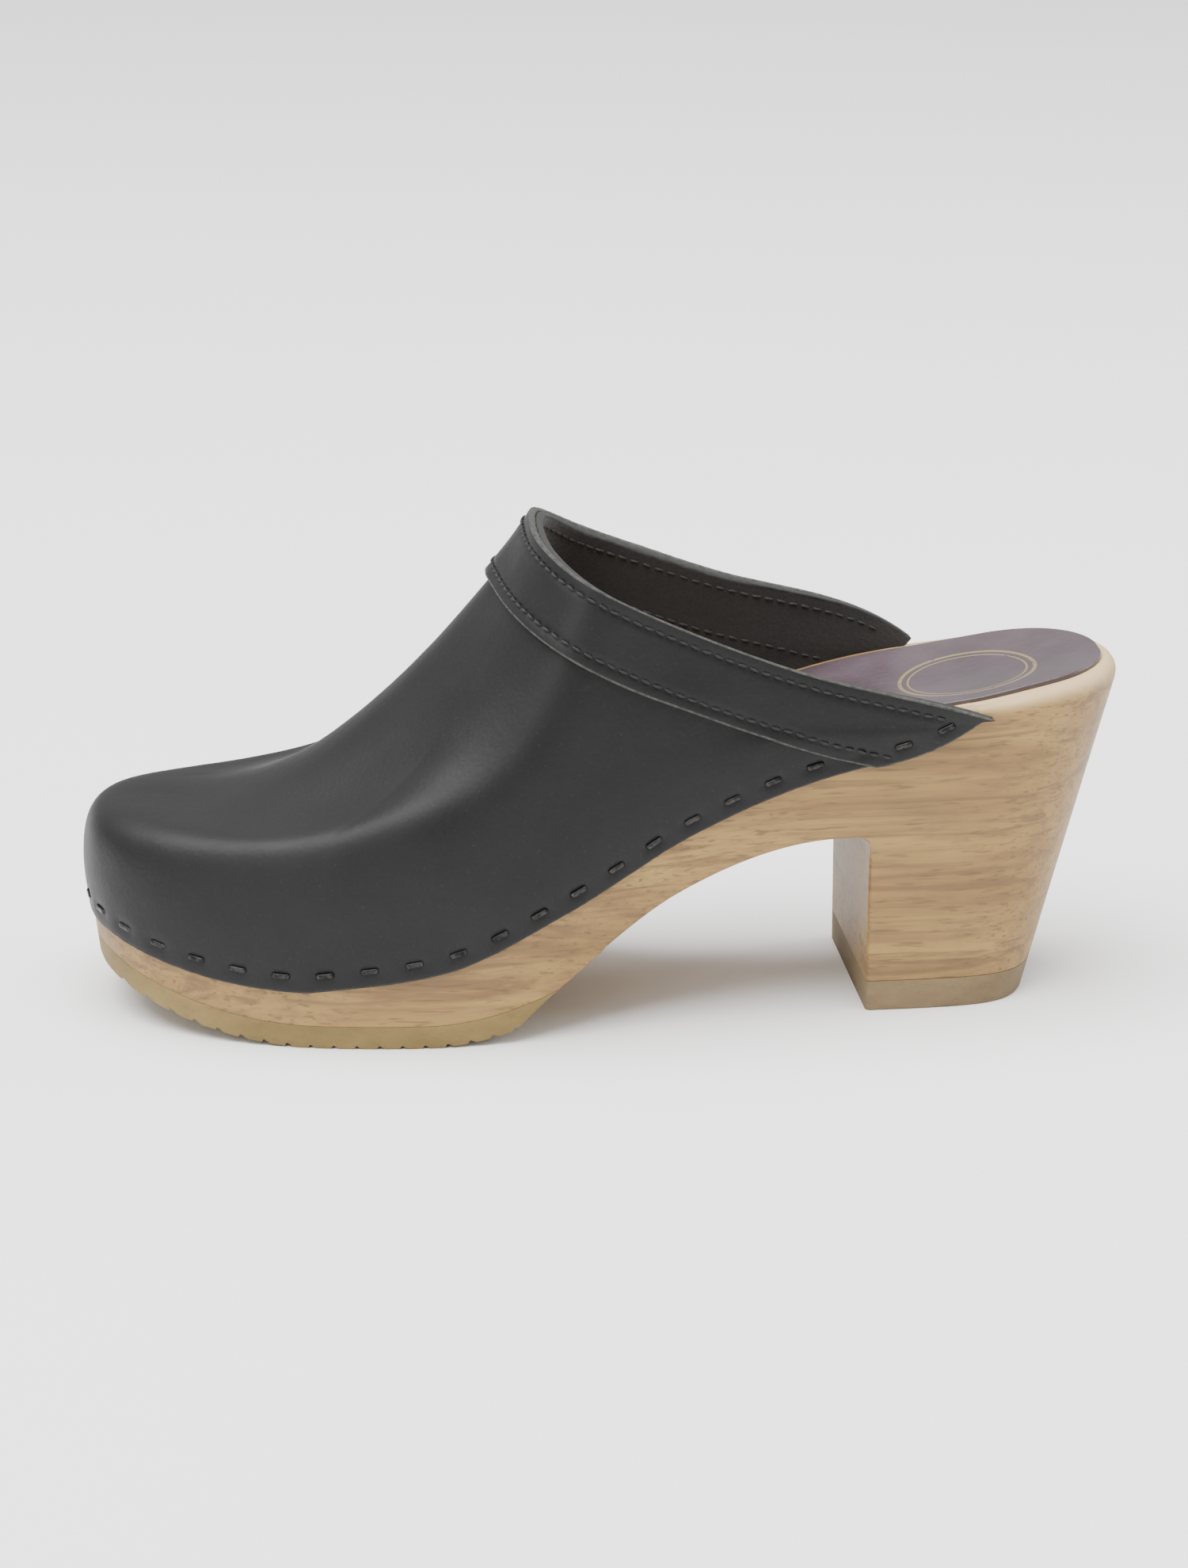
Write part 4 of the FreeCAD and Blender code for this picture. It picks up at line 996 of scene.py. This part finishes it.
def sock():
    """The sock on the footbed; more wood is left bare beside it on the lateral side."""
    sections = []
    places = np.linspace(0, HEEL_PARAMETER, 4001)
    faces_lateral = np.maximum(0, -wall_frame(places)[1][:, 1]) ** 2
    ring = wall(places, rim(plan(places)[0][:, 0]), SOCK_INSET + SOCK_LATERAL * faces_lateral)
    deck = 61
    end = ring[:, 0].max() - 0.01
    stations = np.r_[SOCK_FRONT + SOCK_EDGE * (1 - np.cos(np.linspace(0, math.pi / 2, 5))),
                     spread(SOCK_FRONT + 0.9, end - 0.02, 130, False, True)]
    stations = stations[stations < end - 0.2]
    stations = np.r_[stations, end - 0.15, end - 0.05]
    for place in stations:
        lateral, medial = ring[ring[:, 1] < 0], ring[ring[:, 1] >= 0]
        lateral, medial = lateral[lateral[:, 0] > 100], medial[medial[:, 0] > 100]
        low = np.interp(place, *lateral[np.argsort(lateral[:, 0])][:, :2].T)
        high = np.interp(place, *medial[np.argsort(medial[:, 0])][:, :2].T)
        front = min(max(place - SOCK_FRONT, 0.0), SOCK_EDGE)
        back = min(max(end - place, 0.0), SOCK_EDGE)
        drop = sum(SOCK_EDGE - math.sqrt(max(0.0, SOCK_EDGE ** 2 - (SOCK_EDGE - part) ** 2))
                   for part in (front, back))
        turns = np.linspace(0, math.pi / 2, 6)
        section = []
        radius = min(SOCK_EDGE, (high - low) * 0.45)
        for turn in turns:
            section.append((low + radius * (1 - math.cos(turn)), SOCK - radius + radius * math.sin(turn)))
        inner_low, inner_high = low + radius, high - radius
        for share in np.linspace(0, 1, deck)[1:-1]:
            section.append((inner_low + (inner_high - inner_low) * share, SOCK))
        for turn in turns[::-1]:
            section.append((high - radius * (1 - math.cos(turn)), SOCK - radius + radius * math.sin(turn)))
        for share in np.linspace(0, 1, deck):
            section.append((high + (low - high) * share, 0.0))
        section = np.array(section)
        flat = np.stack([np.full(len(section), place), section[:, 0]], -1)
        bed = footbed(flat[:, 0], flat[:, 1])
        up = np.where(section[:, 1] > 0, np.maximum(section[:, 1] - drop, 0.05), 0.03)
        swell = noise(np.c_[flat, np.zeros(len(flat))], 13.0) * 0.09 * (section[:, 1] > 0)
        sections.append(np.c_[flat, bed + up + swell])
    points = np.array(sections)
    faces, _ = tube_faces(len(sections), points.shape[1], flip=True)
    looks = sock_material((np.array(RING_CENTRE) - ORIGIN) * MM, RINGS)
    return build("sock_pad", points.reshape(-1, 3), faces, [looks], None, ["heel_sock"],
                 sharp=60)


sock()

# ------------------------------------------------------------------ floor, light and camera

floor = bpy.data.meshes.new("floor")
floor.from_pydata([(-9, -9, 0), (9, -9, 0), (9, 9, 0), (-9, 9, 0)], [], [(0, 1, 2, 3)])
floor.materials.append(FLOOR_LOOK)
floor_piece = bpy.data.objects.new("floor", floor)
bpy.context.scene.collection.objects.link(floor_piece)

world = bpy.data.worlds.new("studio")
bpy.context.scene.world = world
world.use_nodes = True
world.node_tree.nodes["Background"].inputs["Color"].default_value = (1.0, 1.0, 1.0, 1.0)
world.node_tree.nodes["Background"].inputs["Strength"].default_value = 0.72


def softbox(name, place, aim, width, height, power):
    light = bpy.data.lights.new(name, "AREA")
    light.shape = "RECTANGLE"
    light.size, light.size_y, light.energy = width, height, power
    lamp = bpy.data.objects.new(name, light)
    lamp.location = place
    lamp.rotation_euler = (Vector(aim) - Vector(place)).to_track_quat("-Z", "Y").to_euler()
    bpy.context.scene.collection.objects.link(lamp)


softbox("softbox_top", (-0.45, -0.20, 1.9), (0, 0, 0.05), 2.4, 2.2, 128.0)
softbox("softbox_left", (-1.2, -1.5, 0.7), (0, 0, 0.04), 0.9, 0.9, 9.0)
softbox("softbox_right", (1.5, 0.2, 0.7), (0, 0, 0.04), 0.9, 0.9, 16.0)

camera = bpy.data.cameras.new("camera")
camera.lens, camera.sensor_width, camera.clip_start = 127.7, 36.0, 0.05
eye = bpy.data.objects.new("camera", camera)
turn, climb, away = math.radians(-6.0), math.radians(16.5), 1.3
target = Vector((-0.00228, 0.00141, 0.0482))
eye.location = target + away * Vector((math.sin(turn) * math.cos(climb), -math.cos(turn) * math.cos(climb),
                                       math.sin(climb)))
eye.rotation_euler = (target - eye.location).to_track_quat("-Z", "Y").to_euler()
bpy.context.scene.collection.objects.link(eye)
bpy.context.scene.camera = eye
